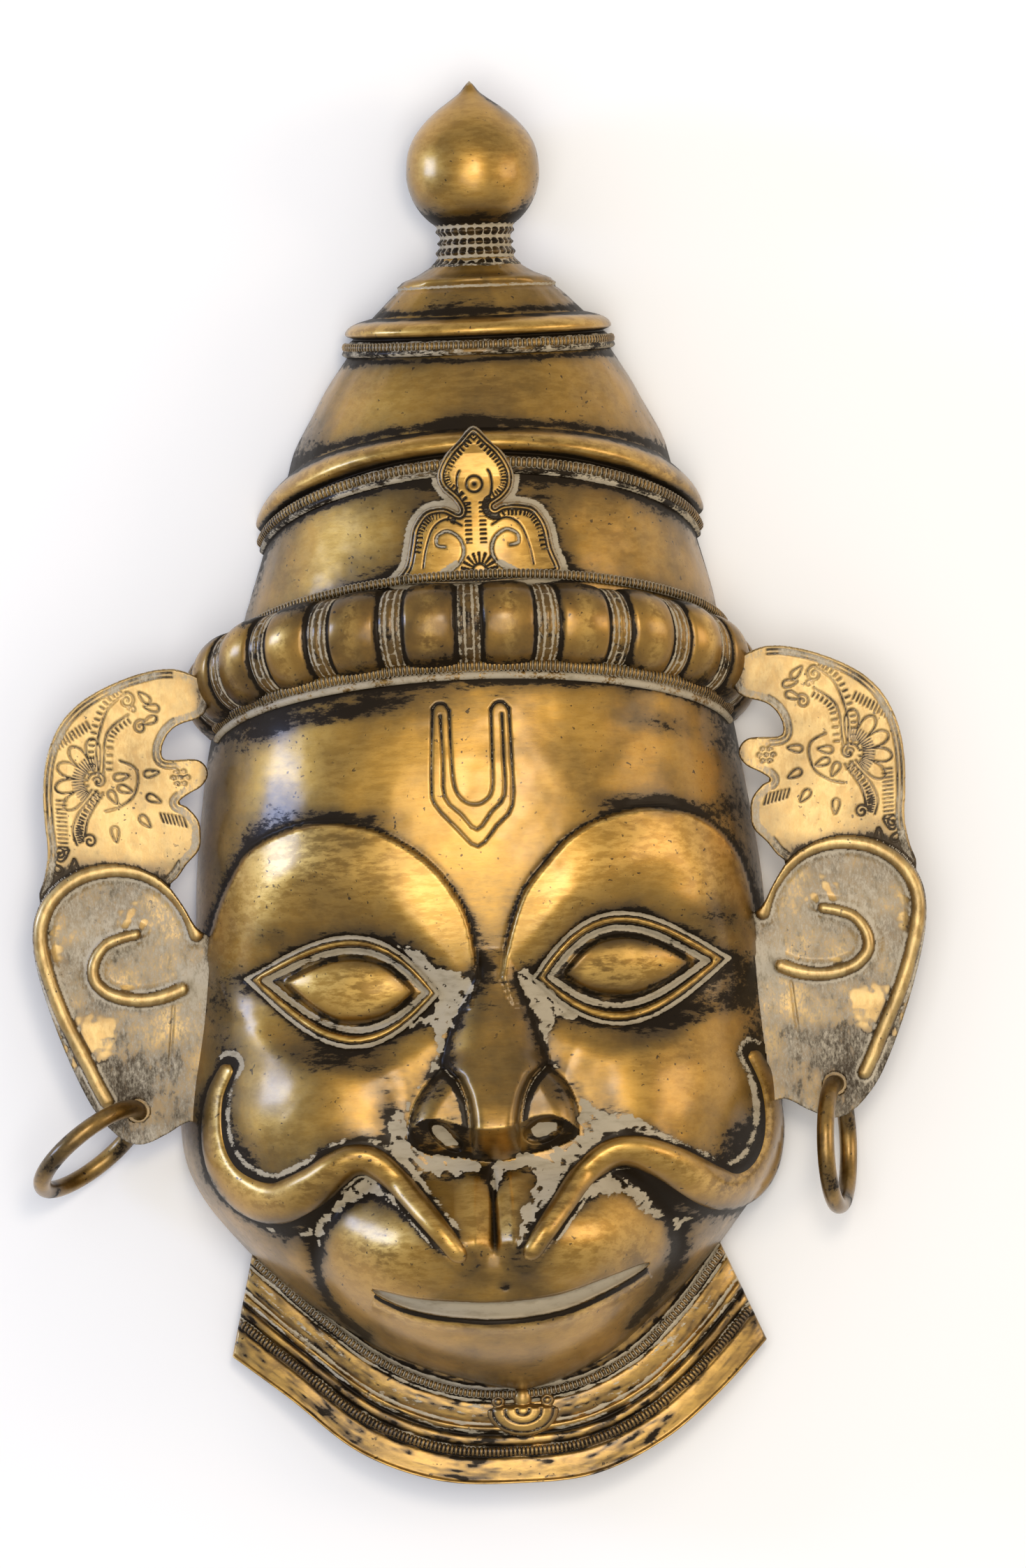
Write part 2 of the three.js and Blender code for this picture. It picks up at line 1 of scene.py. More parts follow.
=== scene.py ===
import math
import bmesh
import bpy
import numpy as np
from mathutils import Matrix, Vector


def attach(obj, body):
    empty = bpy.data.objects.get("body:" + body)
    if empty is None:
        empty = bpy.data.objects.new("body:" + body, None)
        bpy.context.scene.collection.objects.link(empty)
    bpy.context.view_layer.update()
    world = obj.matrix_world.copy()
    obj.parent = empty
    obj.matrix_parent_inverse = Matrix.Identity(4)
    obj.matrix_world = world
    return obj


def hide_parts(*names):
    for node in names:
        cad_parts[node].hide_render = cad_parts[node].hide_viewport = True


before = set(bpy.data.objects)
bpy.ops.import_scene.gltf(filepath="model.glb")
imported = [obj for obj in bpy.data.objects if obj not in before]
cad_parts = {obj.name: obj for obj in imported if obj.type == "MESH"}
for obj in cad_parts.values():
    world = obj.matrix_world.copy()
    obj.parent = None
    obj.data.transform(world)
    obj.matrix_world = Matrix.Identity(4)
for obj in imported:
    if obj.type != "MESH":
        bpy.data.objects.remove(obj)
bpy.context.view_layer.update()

# The maker's own millimetres: x from the photo's middle line, y up from the collar's lowest edge,
# z up from the plane that the open back lies on
bench = {"middleX": -10.6, "middleY": 300.0, "wall": 3.0}


def toMetres(places):
    places = np.asarray(places, float)
    return (places - np.array([bench["middleX"], bench["middleY"], 0.0])) / 1000.0


def curveThrough(pairs):
    # A smooth curve through places and values, flat beyond both ends
    places = np.array([pair[0] for pair in pairs], float)
    values = np.array([pair[1] for pair in pairs], float)
    slopes = np.empty(len(pairs))
    for i in range(len(pairs)):
        low, high = max(i - 1, 0), min(i + 1, len(pairs) - 1)
        slopes[i] = (values[high] - values[low]) / (places[high] - places[low])

    def at(place):
        place = np.clip(place, places[0], places[-1])
        i = np.clip(np.searchsorted(places, place), 1, len(places) - 1)
        span = places[i] - places[i - 1]
        t = (place - places[i - 1]) / span
        lift = t * t * (3 - 2 * t)
        leave = t * (1 - t) ** 2 * span * slopes[i - 1]
        arrive = t * t * (t - 1) * span * slopes[i]
        return values[i - 1] + (values[i] - values[i - 1]) * lift + leave + arrive

    return at


def smoothStep(low, high, value):
    t = np.clip((value - low) / (high - low), 0, 1)
    return t * t * (3 - 2 * t)


def within(span, share):
    return span[0] + (span[1] - span[0]) * share


def smoothPath(points, steps=8, closed=False):
    # A Catmull-Rom line through a few points
    points = np.array(points, float)
    count = len(points)
    spans = count if closed else count - 1
    out = []
    for i in range(spans):
        if closed:
            a, b, c, d = [points[(i + k) % count] for k in (-1, 0, 1, 2)]
        else:
            a, b, c, d = [points[min(max(i + k, 0), count - 1)] for k in (-1, 0, 1, 2)]
        for s in range(steps):
            t = s / steps
            out.append(0.5 * (2 * b + (c - a) * t + (2 * a - 5 * b + 4 * c - d) * t * t
                              + (3 * b - 3 * c + d - a) * t ** 3))
    if not closed:
        out.append(points[-1])
    return np.array(out)


def nearestOn(path, x, y, closed=False):
    # Distance to a flat line, the nearest point on it and how far along it that is
    path = np.asarray(path, float)
    best = np.full(np.shape(x), 1e9)
    nearX, nearY, along = np.zeros_like(best), np.zeros_like(best), np.zeros_like(best)
    ends = np.roll(path, -1, axis=0) if closed else path[1:]
    starts = path if closed else path[:-1]
    run = 0.0
    for (ax, ay), (bx, by) in zip(starts[:, :2], ends[:, :2]):
        length = math.hypot(bx - ax, by - ay)
        if length < 1e-6:
            continue
        share = np.clip(((x - ax) * (bx - ax) + (y - ay) * (by - ay)) / length ** 2, 0, 1)
        px, py = ax + share * (bx - ax), ay + share * (by - ay)
        distance = np.hypot(x - px, y - py)
        closer = distance < best
        best = np.where(closer, distance, best)
        nearX, nearY = np.where(closer, px, nearX), np.where(closer, py, nearY)
        along = np.where(closer, run + share * length, along)
        run += length
    return best, nearX, nearY, along


def distanceTo(path, x, y, closed=False):
    return nearestOn(path, x, y, closed)[0]


def insideOf(outline, x, y):
    outline = np.asarray(outline, float)
    inside = np.zeros(np.shape(x), bool)
    for (ax, ay), (bx, by) in zip(outline, np.roll(outline, -1, axis=0)):
        crosses = (ay > y) != (by > y)
        slope = (bx - ax) / (by - ay) if by != ay else 0.0
        inside ^= crosses & (x < ax + slope * (y - ay))
    return inside


def signedDistance(outline, x, y):
    # Positive inside a closed outline
    return np.where(insideOf(outline, x, y), 1.0, -1.0) * distanceTo(outline, x, y, closed=True)


latticeOf = {seed: np.random.default_rng(seed).random((64, 64)) for seed in range(1, 13)}


def softNoise(x, y, cell, seed):
    # Smooth noise from -1 to 1 with lumps of about one cell
    lattice = latticeOf[seed]
    u, v = np.asarray(x) / cell + 1000, np.asarray(y) / cell + 1000
    i, j = np.floor(u).astype(int), np.floor(v).astype(int)
    s, t = u - i, v - j
    s, t = s * s * (3 - 2 * s), t * t * (3 - 2 * t)
    corner = [lattice[(i + a) % 64, (j + b) % 64] for a, b in ((0, 0), (1, 0), (0, 1), (1, 1))]
    low = corner[0] + (corner[1] - corner[0]) * s
    high = corner[2] + (corner[3] - corner[2]) * s
    return 2 * (low + (high - low) * t) - 1


def hump(offset, width):
    # A soft bump of height 1
    return np.exp(-(offset / width) ** 2)


def fading(distance, reach):
    # From 1 at an edge to nothing away from it
    return np.exp(-np.maximum(distance, 0) / reach)


def spot(x, y, middleX, middleY, halfX, halfY):
    return hump(x - middleX, halfX) * hump(y - middleY, halfY)


def withinOval(x, y, middleX, middleY, halfLength, halfHeight, turn):
    # Shares of a turned oval's half length and half height
    dx, dy = x - middleX, y - middleY
    along = (dx * math.cos(turn) + dy * math.sin(turn)) / halfLength
    return along, (dy * math.cos(turn) - dx * math.sin(turn)) / halfHeight


def hammered(x, y, depth):
    # Uneven metal, with lumps of hammer blows and finer ones between them
    return depth * (softNoise(x, y, 26, 1) + 0.5 * softNoise(x, y, 11, 2) + 0.16 * softNoise(x, y, 4, 3))


# Materials

def linear(hexColour):
    channels = [int(hexColour[i:i + 2], 16) / 255 for i in (1, 3, 5)]
    return [c / 12.92 if c <= 0.04045 else ((c + 0.055) / 1.055) ** 2.4 for c in channels] + [1.0]


def addNode(tree, kind, inputs=None, output=0, **settings):
    # One node with its settings; an input is a link, a plain value or a hex colour
    node = tree.nodes.new(kind)
    for key, value in settings.items():
        setattr(node, key, value)
    for key, value in (inputs or {}).items():
        if isinstance(value, bpy.types.NodeSocket):
            tree.links.new(value, node.inputs[key])
        else:
            node.inputs[key].default_value = linear(value) if isinstance(value, str) else value
    return node.outputs[output] if len(node.outputs) else node


def perMetre(millimetres):
    # Noise scale whose lumps have a real size
    return 1000.0 / millimetres


def agedBrass(name, look):
    # Brass raised by hammer and left to age: golden where hands polish it and where a highlight is painted,
    # dark brown beside every form with painted shade mixed in, with pale dried polish in the grooves
    material = bpy.data.materials.new(name)
    material.use_nodes = True
    tree = material.node_tree
    tree.nodes.clear()
    place = addNode(tree, "ShaderNodeTexCoord", output="Object")
    stretch = addNode(tree, "ShaderNodeMapping", {"Vector": place, "Scale": look["streak"]})
    grimeAndShade, chalk, wearAndHighlight = [
        addNode(tree, "ShaderNodeAttribute", output="Fac", attribute_name=word)
        for word in ("grimeAndShade", "chalk", "wearAndHighlight")]
    # Lump sizes in millimetres: clouds of tarnish, hammer grain, brush marks, scratches, pits and
    # where the pits gather. Real scratches are finer and are drawn as coarse as they need to show
    noise = {}
    for key, source, size, detail, roughness in (
            ("cloud", place, 38, 5, 0.6), ("grain", stretch, 5, 6, 0.65),
            ("brushed", stretch, 2.6, 6, 0.75), ("scratched", stretch, 1.3, 5, 0.7),
            ("pits", place, 2.1, 2, 0.4), ("pitted", place, 17, 2, 0.6)):
        noise[key] = addNode(tree, "ShaderNodeTexNoise", {
            "Vector": source, "Scale": perMetre(size), "Detail": detail, "Roughness": roughness})
    # Soft shares of each noise between two of its values
    share = {}
    for key, source, low, high, most in (
            ("deeper", "cloud", 0.35, 0.7, 1), ("rubbedAndHighlight", "grain", 0.4, 0.6, 1),
            ("dull", "scratched", 0.5, 0.75, 0.35), ("crumbled", "grain", 0.45, 0.85, 1),
            ("pits", "pits", 0.67, 0.71, 1), ("pitted", "pitted", 0.47, 0.6, 1)):
        share[key] = addNode(tree, "ShaderNodeMapRange", {
            "Value": noise[source], "From Min": low, "From Max": high, "To Max": most},
            interpolation_type="SMOOTHSTEP")
    # Brown tarnish that deepens softly, black patina and dried polish that are broken by the brushing; the
    # brown and black also paint the shade that the pieces put into the dark field
    for key, start, terms in (
            ("tarnishAndShade", -0.65, ((grimeAndShade, 1), (noise["cloud"], 0.8), (noise["grain"], 0.5))),
            ("soot", -0.9, ((grimeAndShade, 1), (noise["brushed"], 0.9), (noise["grain"], 0.9))),
            ("polish", -0.7, ((chalk, 1), (noise["brushed"], 0.9), (noise["scratched"], 0.5)))):
        total = start
        for source, weight in terms:
            sockets = {0: source, 1: weight, 2: total}
            total = addNode(tree, "ShaderNodeMath", sockets, operation="MULTIPLY_ADD")
        ends = {"Value": total, "From Min": look[key][0], "From Max": look[key][1]}
        share[key] = addNode(tree, "ShaderNodeMapRange", ends, interpolation_type="SMOOTHSTEP")
    for key, a, b in (("rubbedAndHighlight", share["rubbedAndHighlight"], wearAndHighlight), ("pits", share["pits"], share["pitted"]),
                      ("brownShare", share["tarnishAndShade"], 0.92), ("blackShare", share["soot"], 0.94)):
        share[key] = addNode(tree, "ShaderNodeMath", {0: a, 1: b}, operation="MULTIPLY")
    pitShare = addNode(tree, "ShaderNodeMath", {0: share["pits"], 1: 0.8}, operation="MULTIPLY")
    residue = addNode(tree, "ShaderNodeMix", {
        "Factor": share["crumbled"], 6: look["residue"], 7: look["residueDark"]}, 2, data_type="RGBA")
    colour = look["gold"]
    # The bright gold also paints the highlights that the pieces put into the wear field
    for amount, tint in (
            (share["deeper"], look["deepGold"]), (share["rubbedAndHighlight"], look["bright"]),
            (share["dull"], look["deepGold"]), (share["brownShare"], look["brown"]),
            (share["blackShare"], look["black"]), (pitShare, look["black"]), (share["polish"], residue)):
        colour = addNode(tree, "ShaderNodeMix", {"Factor": amount, 6: colour, 7: tint}, 2, data_type="RGBA")
    # Sums of shares for the other sockets: metal under no polish or soot, rougher and lower where dirty
    bare = addNode(tree, "ShaderNodeMath", {0: share["polish"], 1: -0.92, 2: 1.0}, operation="MULTIPLY_ADD")
    clean = addNode(tree, "ShaderNodeMath", {0: share["soot"], 1: -0.45, 2: 1.0}, operation="MULTIPLY_ADD")
    metallic = addNode(tree, "ShaderNodeMath", {0: bare, 1: clean}, operation="MULTIPLY")
    rough, height = look["rough"] - 0.09, 0.0
    for source, roughness in ((noise["grain"], 0.18), (share["tarnishAndShade"], 0.12), (share["polish"], 0.4)):
        sockets = {0: source, 1: roughness, 2: rough}
        rough = addNode(tree, "ShaderNodeMath", sockets, operation="MULTIPLY_ADD", use_clamp=True)
    for source, lift in ((noise["grain"], 0.55), (noise["scratched"], 0.2), (share["pits"], -0.6)):
        height = addNode(tree, "ShaderNodeMath", {0: source, 1: lift, 2: height}, operation="MULTIPLY_ADD")
    bump = addNode(tree, "ShaderNodeBump", {"Strength": look["bump"], "Distance": 0.0006, "Height": height})
    # A thin coat of old wax, with none of its shine on soot and dried polish
    covered = addNode(tree, "ShaderNodeMath", {0: share["soot"], 1: share["polish"]}, operation="MAXIMUM")
    waxed = addNode(tree, "ShaderNodeMath", {0: covered, 1: -0.85, 2: 1.0}, operation="MULTIPLY_ADD")
    coat = addNode(tree, "ShaderNodeMath", {0: waxed, 1: look["wax"]}, operation="MULTIPLY")
    specular = addNode(tree, "ShaderNodeMath", {0: waxed, 1: 0.5}, operation="MULTIPLY")
    shader = addNode(tree, "ShaderNodeBsdfPrincipled", {
        "Base Color": colour, "Metallic": metallic, "Roughness": rough, "Normal": bump, "Coat Weight": coat,
        "Coat Roughness": 0.22, "Specular IOR Level": specular})
    addNode(tree, "ShaderNodeOutputMaterial", {"Surface": shader})
    return material


brassLook = {
    "gold": "#A87F32", "deepGold": "#7E5F27", "bright": "#CDA453", "brown": "#4B3A1E", "black": "#1C160F",
    "residue": "#A79B84", "residueDark": "#7F745C", "polish": (0.44, 0.62), "tarnishAndShade": (0.1, 0.85),
    "soot": (0.62, 0.8), "rough": 0.4, "bump": 0.22, "wax": 0.6, "streak": (0.45, 1.6, 1.0),
}
# One metal worked five ways: hammered shell, rolled bands, chased ear sheet, rubbed collar, drawn bar
brasses = {
    "shell": agedBrass("hammered_aged_brass", brassLook),
    "band": agedBrass("rolled_band_brass", {
        **brassLook, "gold": "#A17A33", "deepGold": "#735422", "streak": (1, 1, 1)}),
    "ear": agedBrass("chased_sheet_brass", {
        **brassLook, "gold": "#B6955A", "deepGold": "#957742", "bright": "#D0B274", "brown": "#6A583C",
        "black": "#3A3126", "residue": "#BDB29D", "polish": (0.3, 0.8), "rough": 0.45, "bump": 0.4,
        "streak": (1.5, 0.7, 1.0)}),
    "collar": agedBrass("worn_collar_brass", {
        **brassLook, "gold": "#B18C4A", "deepGold": "#7D6238", "brown": "#4C3C28", "residue": "#BDB29B",
        "bump": 0.5, "streak": (0.5, 1.3, 1.0)}),
    "ring": agedBrass("smooth_bar_brass", {
        **brassLook, "gold": "#8A6A30", "deepGold": "#664C22", "bright": "#B8924A", "rough": 0.38,
        "bump": 0.15, "streak": (1, 1, 1)}),
}


# Making a piece from a grid

def meshFrom(bm, name):
    mesh = bpy.data.meshes.new(name)
    bm.to_mesh(mesh)
    bm.free()
    return mesh


def placesOf(mesh):
    flat = np.empty(len(mesh.vertices) * 3)
    mesh.vertices.foreach_get("co", flat)
    return flat.reshape(-1, 3)


def setShape(mesh, places, marks):
    # Every vertex in its place, with how dirty, pale and worn it is for the material
    mesh.vertices.foreach_set("co", toMetres(places).astype(np.float32).ravel())
    for word in ("grimeAndShade", "chalk", "wearAndHighlight"):
        values = np.broadcast_to(np.asarray(marks.get(word, 0.0), float), (len(mesh.vertices),))
        mesh.attributes.new(word, "FLOAT", "POINT").data.foreach_set("value", values.astype(np.float32))


def addObject(name, data):
    thing = bpy.data.objects.new(name, data)
    bpy.context.scene.collection.objects.link(thing)
    return thing


def facesWhere(bm, zone):
    faces = list(bm.faces)
    centres = np.array([face.calc_center_median()[:2] for face in faces]) + 0.5
    return [face for face, wanted in zip(faces, zone(centres[:, 0], centres[:, 1])) if wanted]


def gridPiece(name, columns, rows, shape, brass, node, slot, zones=(), weld=0.0, keep=None, flip=False):
    # A flat grid from 0 to 1 each way, its squares halved in each zone, and then bent to shape
    bm = bmesh.new()
    bmesh.ops.create_grid(bm, x_segments=columns, y_segments=rows, size=0.5)
    for zone in zones:
        edges = dict.fromkeys(edge for face in facesWhere(bm, zone) for edge in face.edges)
        bmesh.ops.subdivide_edges(bm, edges=list(edges), cuts=1, use_grid_fill=True)
    if keep is not None:
        bmesh.ops.delete(bm, geom=facesWhere(bm, lambda p, q: ~keep(p, q)), context="FACES")
    mesh = meshFrom(bm, name)
    flat = np.clip(placesOf(mesh) + 0.5, 0, 1)
    setShape(mesh, *shape(flat[:, 0], flat[:, 1]))
    return finished(name, mesh, brass, node, weld, flip)


def finished(name, mesh, brass, node, weld=0.0, flip=False):
    # Closes the seams of a mesh, turns it outwards and hands it over as a piece of its solid
    if weld or flip:
        bm = bmesh.new()
        bm.from_mesh(mesh)
        if weld:
            bmesh.ops.remove_doubles(bm, verts=bm.verts, dist=weld / 1000)
        if flip:
            bmesh.ops.reverse_faces(bm, faces=bm.faces)
        bm.to_mesh(mesh)
        bm.free()
    mesh.polygons.foreach_set("use_smooth", np.ones(len(mesh.polygons), bool))
    mesh.materials.append(brasses[brass])
    mesh.update()
    piece = addObject(name, mesh)
    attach(piece, "root")
    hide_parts(node)
    print(name, len(mesh.polygons), "faces")
    return piece


def shellPiece(name, columns, rows, shape, brass="shell", **more):
    return gridPiece(name, columns, rows, shape, brass, "mask_shell", "aged_brass", **more)


# The face: half width, middle and depth at each height up the mask

faceSize = {
    "squareness": 2.6, "span": (39, 352), "insideSpan": (42, 350),
    "half": [(39, 0.2), (40, 4), (42, 15), (46, 28), (52, 42), (60, 56), (70, 69), (80, 81), (92, 93),
             (107, 106), (125, 119.5), (142, 127), (162, 129), (190, 126.5), (227, 122.7), (260, 121),
             (292, 117), (320, 112.5), (338, 108), (350, 100), (360, 90)],
    "middle": [(40, 2), (52, -3.5), (69, -7.5), (107, -11), (162, -11.2), (227, -8.6), (320, -9),
               (360, -5)],
    "depth": [(39, 30), (40, 34), (44, 52), (52, 72), (65, 89), (80, 98), (100, 103), (130, 103),
              (170, 99), (210, 97), (250, 100), (290, 99), (320, 95), (345, 90), (360, 84)],
}
faceHalf, faceMiddle, faceDepth = [curveThrough(faceSize[key]) for key in ("half", "middle", "depth")]

# Soft forms: x, y, half length, half height, turn, rise
softForms = [
    (-86, 166, 44, 38, 0.2, 8), (68, 166, 44, 38, -0.2, 8), (-10, 94, 80, 46, 0.05, 15),
    (-46, 104, 38, 30, 0.3, 9), (28, 104, 38, 30, -0.3, 9), (-3, 62, 60, 26, 0.04, 7),
    (-66, 212, 48, 32, 0, -5), (54, 217, 48, 32, 0, -5),
]


def softRise(x, y):
    total = np.zeros(np.shape(x))
    for *oval, rise in softForms:
        along, up = withinOval(x, y, *oval)
        total += rise * np.maximum(1 - along ** 2 - up ** 2, 0) ** 1.5
    return total


browArcs = {
    "left": smoothPath([(-10, 218), (-13, 240), (-19, 254), (-30, 268), (-48, 280), (-64, 284.6),
                        (-78, 285.3), (-92.5, 282), (-106, 275), (-114, 264), (-121, 250), (-127, 232)], 4),
    "right": smoothPath([(-0.5, 218), (3, 234), (9.7, 252), (18.7, 264), (29.5, 275), (41.5, 282),
                         (54.7, 286), (68, 287.4), (81, 284.4), (92, 278.4), (101.5, 267.5), (107, 252),
                         (110, 234)], 4),
}
underBrow = {
    "left": np.vstack([browArcs["left"], [(-118, 205), (-68, 190), (-14, 205)]]),
    "right": np.vstack([browArcs["right"], [(106, 208), (54, 195), (4, 205)]]),
}

# Each eye: middle, tilt, lean of the two arcs, and for each ring its half length, its height above
# and below the corners and its shift to the right
eyeForms = {
    "left": {"middle": (-68.5, 215.6), "tilt": -0.11, "lean": 0.27, "outer": (41, 21, 25, 0),
             "inner": (34.4, 15.4, 18, 1.5), "ball": (28, 12.6, 15.8, 3)},
    "right": {"middle": (55, 218.5), "tilt": 0.06, "lean": -0.27, "outer": (42, 23.7, 22.6, 0),
              "inner": (33.8, 17.6, 15, -1.3), "ball": (27.8, 14.4, 11.8, -1.5)},
}


def almond(eye, halfLength, above, below, shift, steps=26):
    angles = np.pi * np.arange(2 * steps) / steps
    along = np.cos(angles)
    swell = (1 - along ** 2) ** 1.08 * (1 + eye["lean"] * along)
    x, y = halfLength * along + shift, swell * np.where(np.arange(2 * steps) > steps, -below, above)
    cosine, sine = math.cos(eye["tilt"]), math.sin(eye["tilt"])
    return np.stack([eye["middle"][0] + x * cosine - y * sine, eye["middle"][1] + x * sine + y * cosine], 1)


eyeLines = {side: {ring: almond(eye, *eye[ring]) for ring in ("outer", "inner", "ball")}
            for side, eye in eyeForms.items()}

noseForm = {
    "middle": curveThrough([(139, -6), (156, -5.5), (168, -5), (178, -4.5), (192, -4.7), (215, -2.6),
                            (230, -3.5)]),
    "half": curveThrough([(139, 11), (156, 11.6), (162, 12.4), (168, 14), (174, 17.2), (178, 21),
                          (181, 22.3), (185, 21.6), (192, 19.4), (203, 15.8), (215, 10.8), (222, 8),
                          (230, 6)]),
    "height": curveThrough([(150, 25.5), (155, 25.5), (162, 24.5), (168, 22.5), (176, 19), (186, 15),
                            (196, 11.5), (205, 8.5), (214, 5.5), (222, 3), (230, 0)]),
    "front": curveThrough([(-43, 152), (-40, 155.3), (-36, 157.8), (-31, 158.4), (-26, 157.2),
                           (-21, 155.2), (-17, 153.8), (-6, 153.2), (4, 154.6), (7, 156), (12, 157.8),
                           (18, 158), (24, 156), (30, 151)]),
    "foot": curveThrough([(-43, 149), (-38, 144.6), (-30, 142), (-20, 141), (-6, 139), (8, 141.5),
                          (18, 143.6), (26, 146.5), (30, 149)]),
    "wings": [
        smoothPath([(-26, 179.5), (-31, 175.8), (-36, 170), (-40, 163), (-42.3, 155), (-42, 148),
                    (-36, 141), (-9, 140), (-8, 156), (-10, 168), (-18, 178)], 3, True),
        smoothPath([(17, 179.5), (21, 176.4), (25.5, 171), (28.8, 164), (30.2, 156), (29, 148), (24, 142),
                    (-2, 140), (-3, 156), (0, 168), (9, 178)], 3, True)],
    "philtrumX": -7.6,
    "nostrils": [(-26.6, 150.4, 6.5, 3.0, -0.75), (14.6, 151.8, 6.4, 4.0, 0.35)],
}


def noseParts(x, y):
    # Bridge and wings; below the front edge the underside falls to the foot line
    front, foot = noseForm["front"](x), noseForm["foot"](x)
    held = np.maximum(y, front)
    share = np.abs(x - noseForm["middle"](held)) / noseForm["half"](held)
    bluff = 2.4 + 3.6 * (1 - smoothStep(170, 188, held))
    bridge = noseForm["height"](held) * (1 - np.clip(share, 0, 1) ** bluff) ** 0.85
    wing = np.maximum(*[signedDistance(outline, x, held) for outline in noseForm["wings"]])
    dome = 13.5 * np.sqrt(1 - (1 - np.clip(wing / 11, 0, 1)) ** 2)
    fall = np.clip((y - foot) / (front - foot), 0, 1)
    return share, bridge, dome, wing, front, fall


# Patches of pale dried polish: at the eye corners, round the foot of the nose, under the moustache
palePatches = [
    [(-48, 234.5), (-38, 232), (-30, 226), (-21, 221), (-15, 219.5), (-12.5, 214), (-15, 209), (-19, 205),
     (-22, 198), (-25, 191), (-27.5, 183), (-29, 178), (-34, 176), (-32, 183), (-29.5, 190), (-31, 196),
     (-38, 197), (-48, 192.5), (-40, 199), (-32, 204), (-28.5, 208), (-29, 212), (-35, 219), (-42, 226)],
    [(-31, 177), (-36.5, 171), (-41.5, 163), (-43.3, 155), (-42, 148.5), (-36, 144.3), (-24, 141.3),
     (-14, 140.6), (-7.6, 137.6), (-12, 134.6), (-20, 133.5), (-29, 134), (-36.6, 134), (-41, 133),
     (-47, 141), (-51, 146), (-60, 149.5), (-52, 151), (-51.5, 159), (-48, 163), (-44, 163), (-40, 170),
     (-35, 176.5)],
    [(-7.6, 137.6), (0, 140.8), (12, 143.8), (24, 146.6), (30, 150.5), (30.8, 160), (28.6, 168),
     (25, 174), (19.5, 179), (22, 180.5), (28, 173), (33, 163.5), (39, 159), (52, 157.5), (62, 152.5),
     (68, 146.5), (60, 148.5), (50, 150.3), (42, 148.8), (32, 143), (26, 137), (20, 130), (14, 121),
     (8, 112), (3, 101), (0, 101.5), (1.5, 110), (4, 118), (8, 126), (10.5, 132.5), (6, 134.5), (0, 134),
     (-4.5, 130), (-6.6, 124.5), (-8.6, 126), (-9.4, 131)],
    [(19, 179), (17.4, 186), (15, 194), (11.5, 204), (8, 214), (5.8, 219), (8.5, 223), (13, 219),
     (17, 219.5), (15, 215), (20, 212), (27, 204.5), (34, 199), (30, 196.6), (22, 198), (18.8, 193),
     (18.6, 187), (22, 181)],
    [(-106, 114.4), (-97, 112), (-90, 113.2), (-84, 116), (-78, 121), (-72, 127), (-66, 133),
     (-60, 135.5), (-54, 131.5), (-48, 125), (-42, 117), (-47, 119), (-53, 124), (-60, 126), (-68, 123),
     (-75, 119), (-79, 113), (-82.3, 103), (-84, 109.6), (-90, 110), (-98, 110)],
    [(20, 116), (26, 124), (34, 130), (43, 131.6), (50, 129), (58, 122.6), (64, 115.6), (70, 112.8),
     (83, 112), (74, 109), (70, 105.5), (67.4, 105), (66, 111), (59, 111.6), (52, 118), (46, 121.6),
     (38, 122.4), (31, 121.6), (25, 118)],
]
# Loose dark smears: x, y, half length, half height, turn, strength
smears = [
    (68, 288, 26, 5, -0.12, 0.6), (-62, 288, 26, 4.5, -0.05, 0.5), (-100, 281, 11, 7, 0.7, 0.4),
    (-8, 223, 6, 9, 0, 0.55), (101, 292, 9, 30, 0, 0.3),
    (-72, 183, 34, 7, -0.18, 0.42), (-121, 206, 9, 20, 0, 0.3), (74, 195, 28, 6, 0.3, 0.5),
    (106, 208, 11, 16, 0, 0.5), (92, 240, 14, 8, -0.4, 0.45), (-100, 238, 12, 7, 0.3, 0.3),
    (-112, 146, 8, 18, 0.2, 0.45), (97, 143, 14, 9, 0.5, 0.45),
    (-52, 165, 6, 14, 0.3, 0.35), (44, 168, 6, 14, -0.3, 0.35), (-40, 300, 30, 8, 0.1, 0.18),
    (55, 306, 30, 9, -0.1, 0.22), (-66, 331, 32, 4, 0.16, 0.5), (70, 322, 24, 6, -0.3, 0.45),
    (-107, 300, 12, 34, 0, 0.1), (-96, 326, 14, 6, 0.5, 0.4), (4, 300, 8, 24, 0, 0.12),
    (-88, 305, 10, 24, 0, 0.2),
]

# Centre lines of the moustache, and how wide and how proud it is from tip to inner end
moustache = {
    "left": smoothPath([(-117.5, 184), (-124.3, 170), (-125.6, 152), (-120.5, 137), (-109.7, 127.5),
                        (-97.5, 125), (-84, 131), (-75, 137.6), (-67, 141.8), (-58.5, 141), (-50, 134),
                        (-40.5, 122.6), (-30.5, 109.8), (-20.5, 96.5)], 10),
    "right": smoothPath([(104.5, 181), (111.2, 166), (112.4, 148), (107.6, 132.5), (97.5, 123.6),
                         (84.5, 124.6), (67, 135.4), (53.5, 141), (42.5, 140.2), (31, 131.6), (22, 119.8),
                         (13, 107.4), (5, 96.5)], 10),
    "half": curveThrough([(0, 3.4), (0.1, 4.4), (0.22, 6.2), (0.34, 9.0), (0.46, 9.8), (0.56, 8.4),
                          (0.66, 6.8), (0.85, 5.8), (1, 5.2)]),
    "height": curveThrough([(0, 3.4), (0.15, 6), (0.4, 10), (0.7, 9), (1, 7)]),
}
mouth = {"middleX": -1.5, "half": 59, "open": 4.0}
creases = [smoothPath([(-62, 132), (-76, 121), (-83, 108), (-82.7, 91), (-75, 76), (-64, 66)], 5),
           smoothPath([(46, 132), (60, 121), (70.5, 107), (68.6, 93), (61, 79), (48, 65)], 5)]
mouthLine = smoothPath([(-60, 86), (-44, 80), (-26, 77), (-5, 75.8), (18, 78), (38, 84.5), (57, 92.5)], 6)
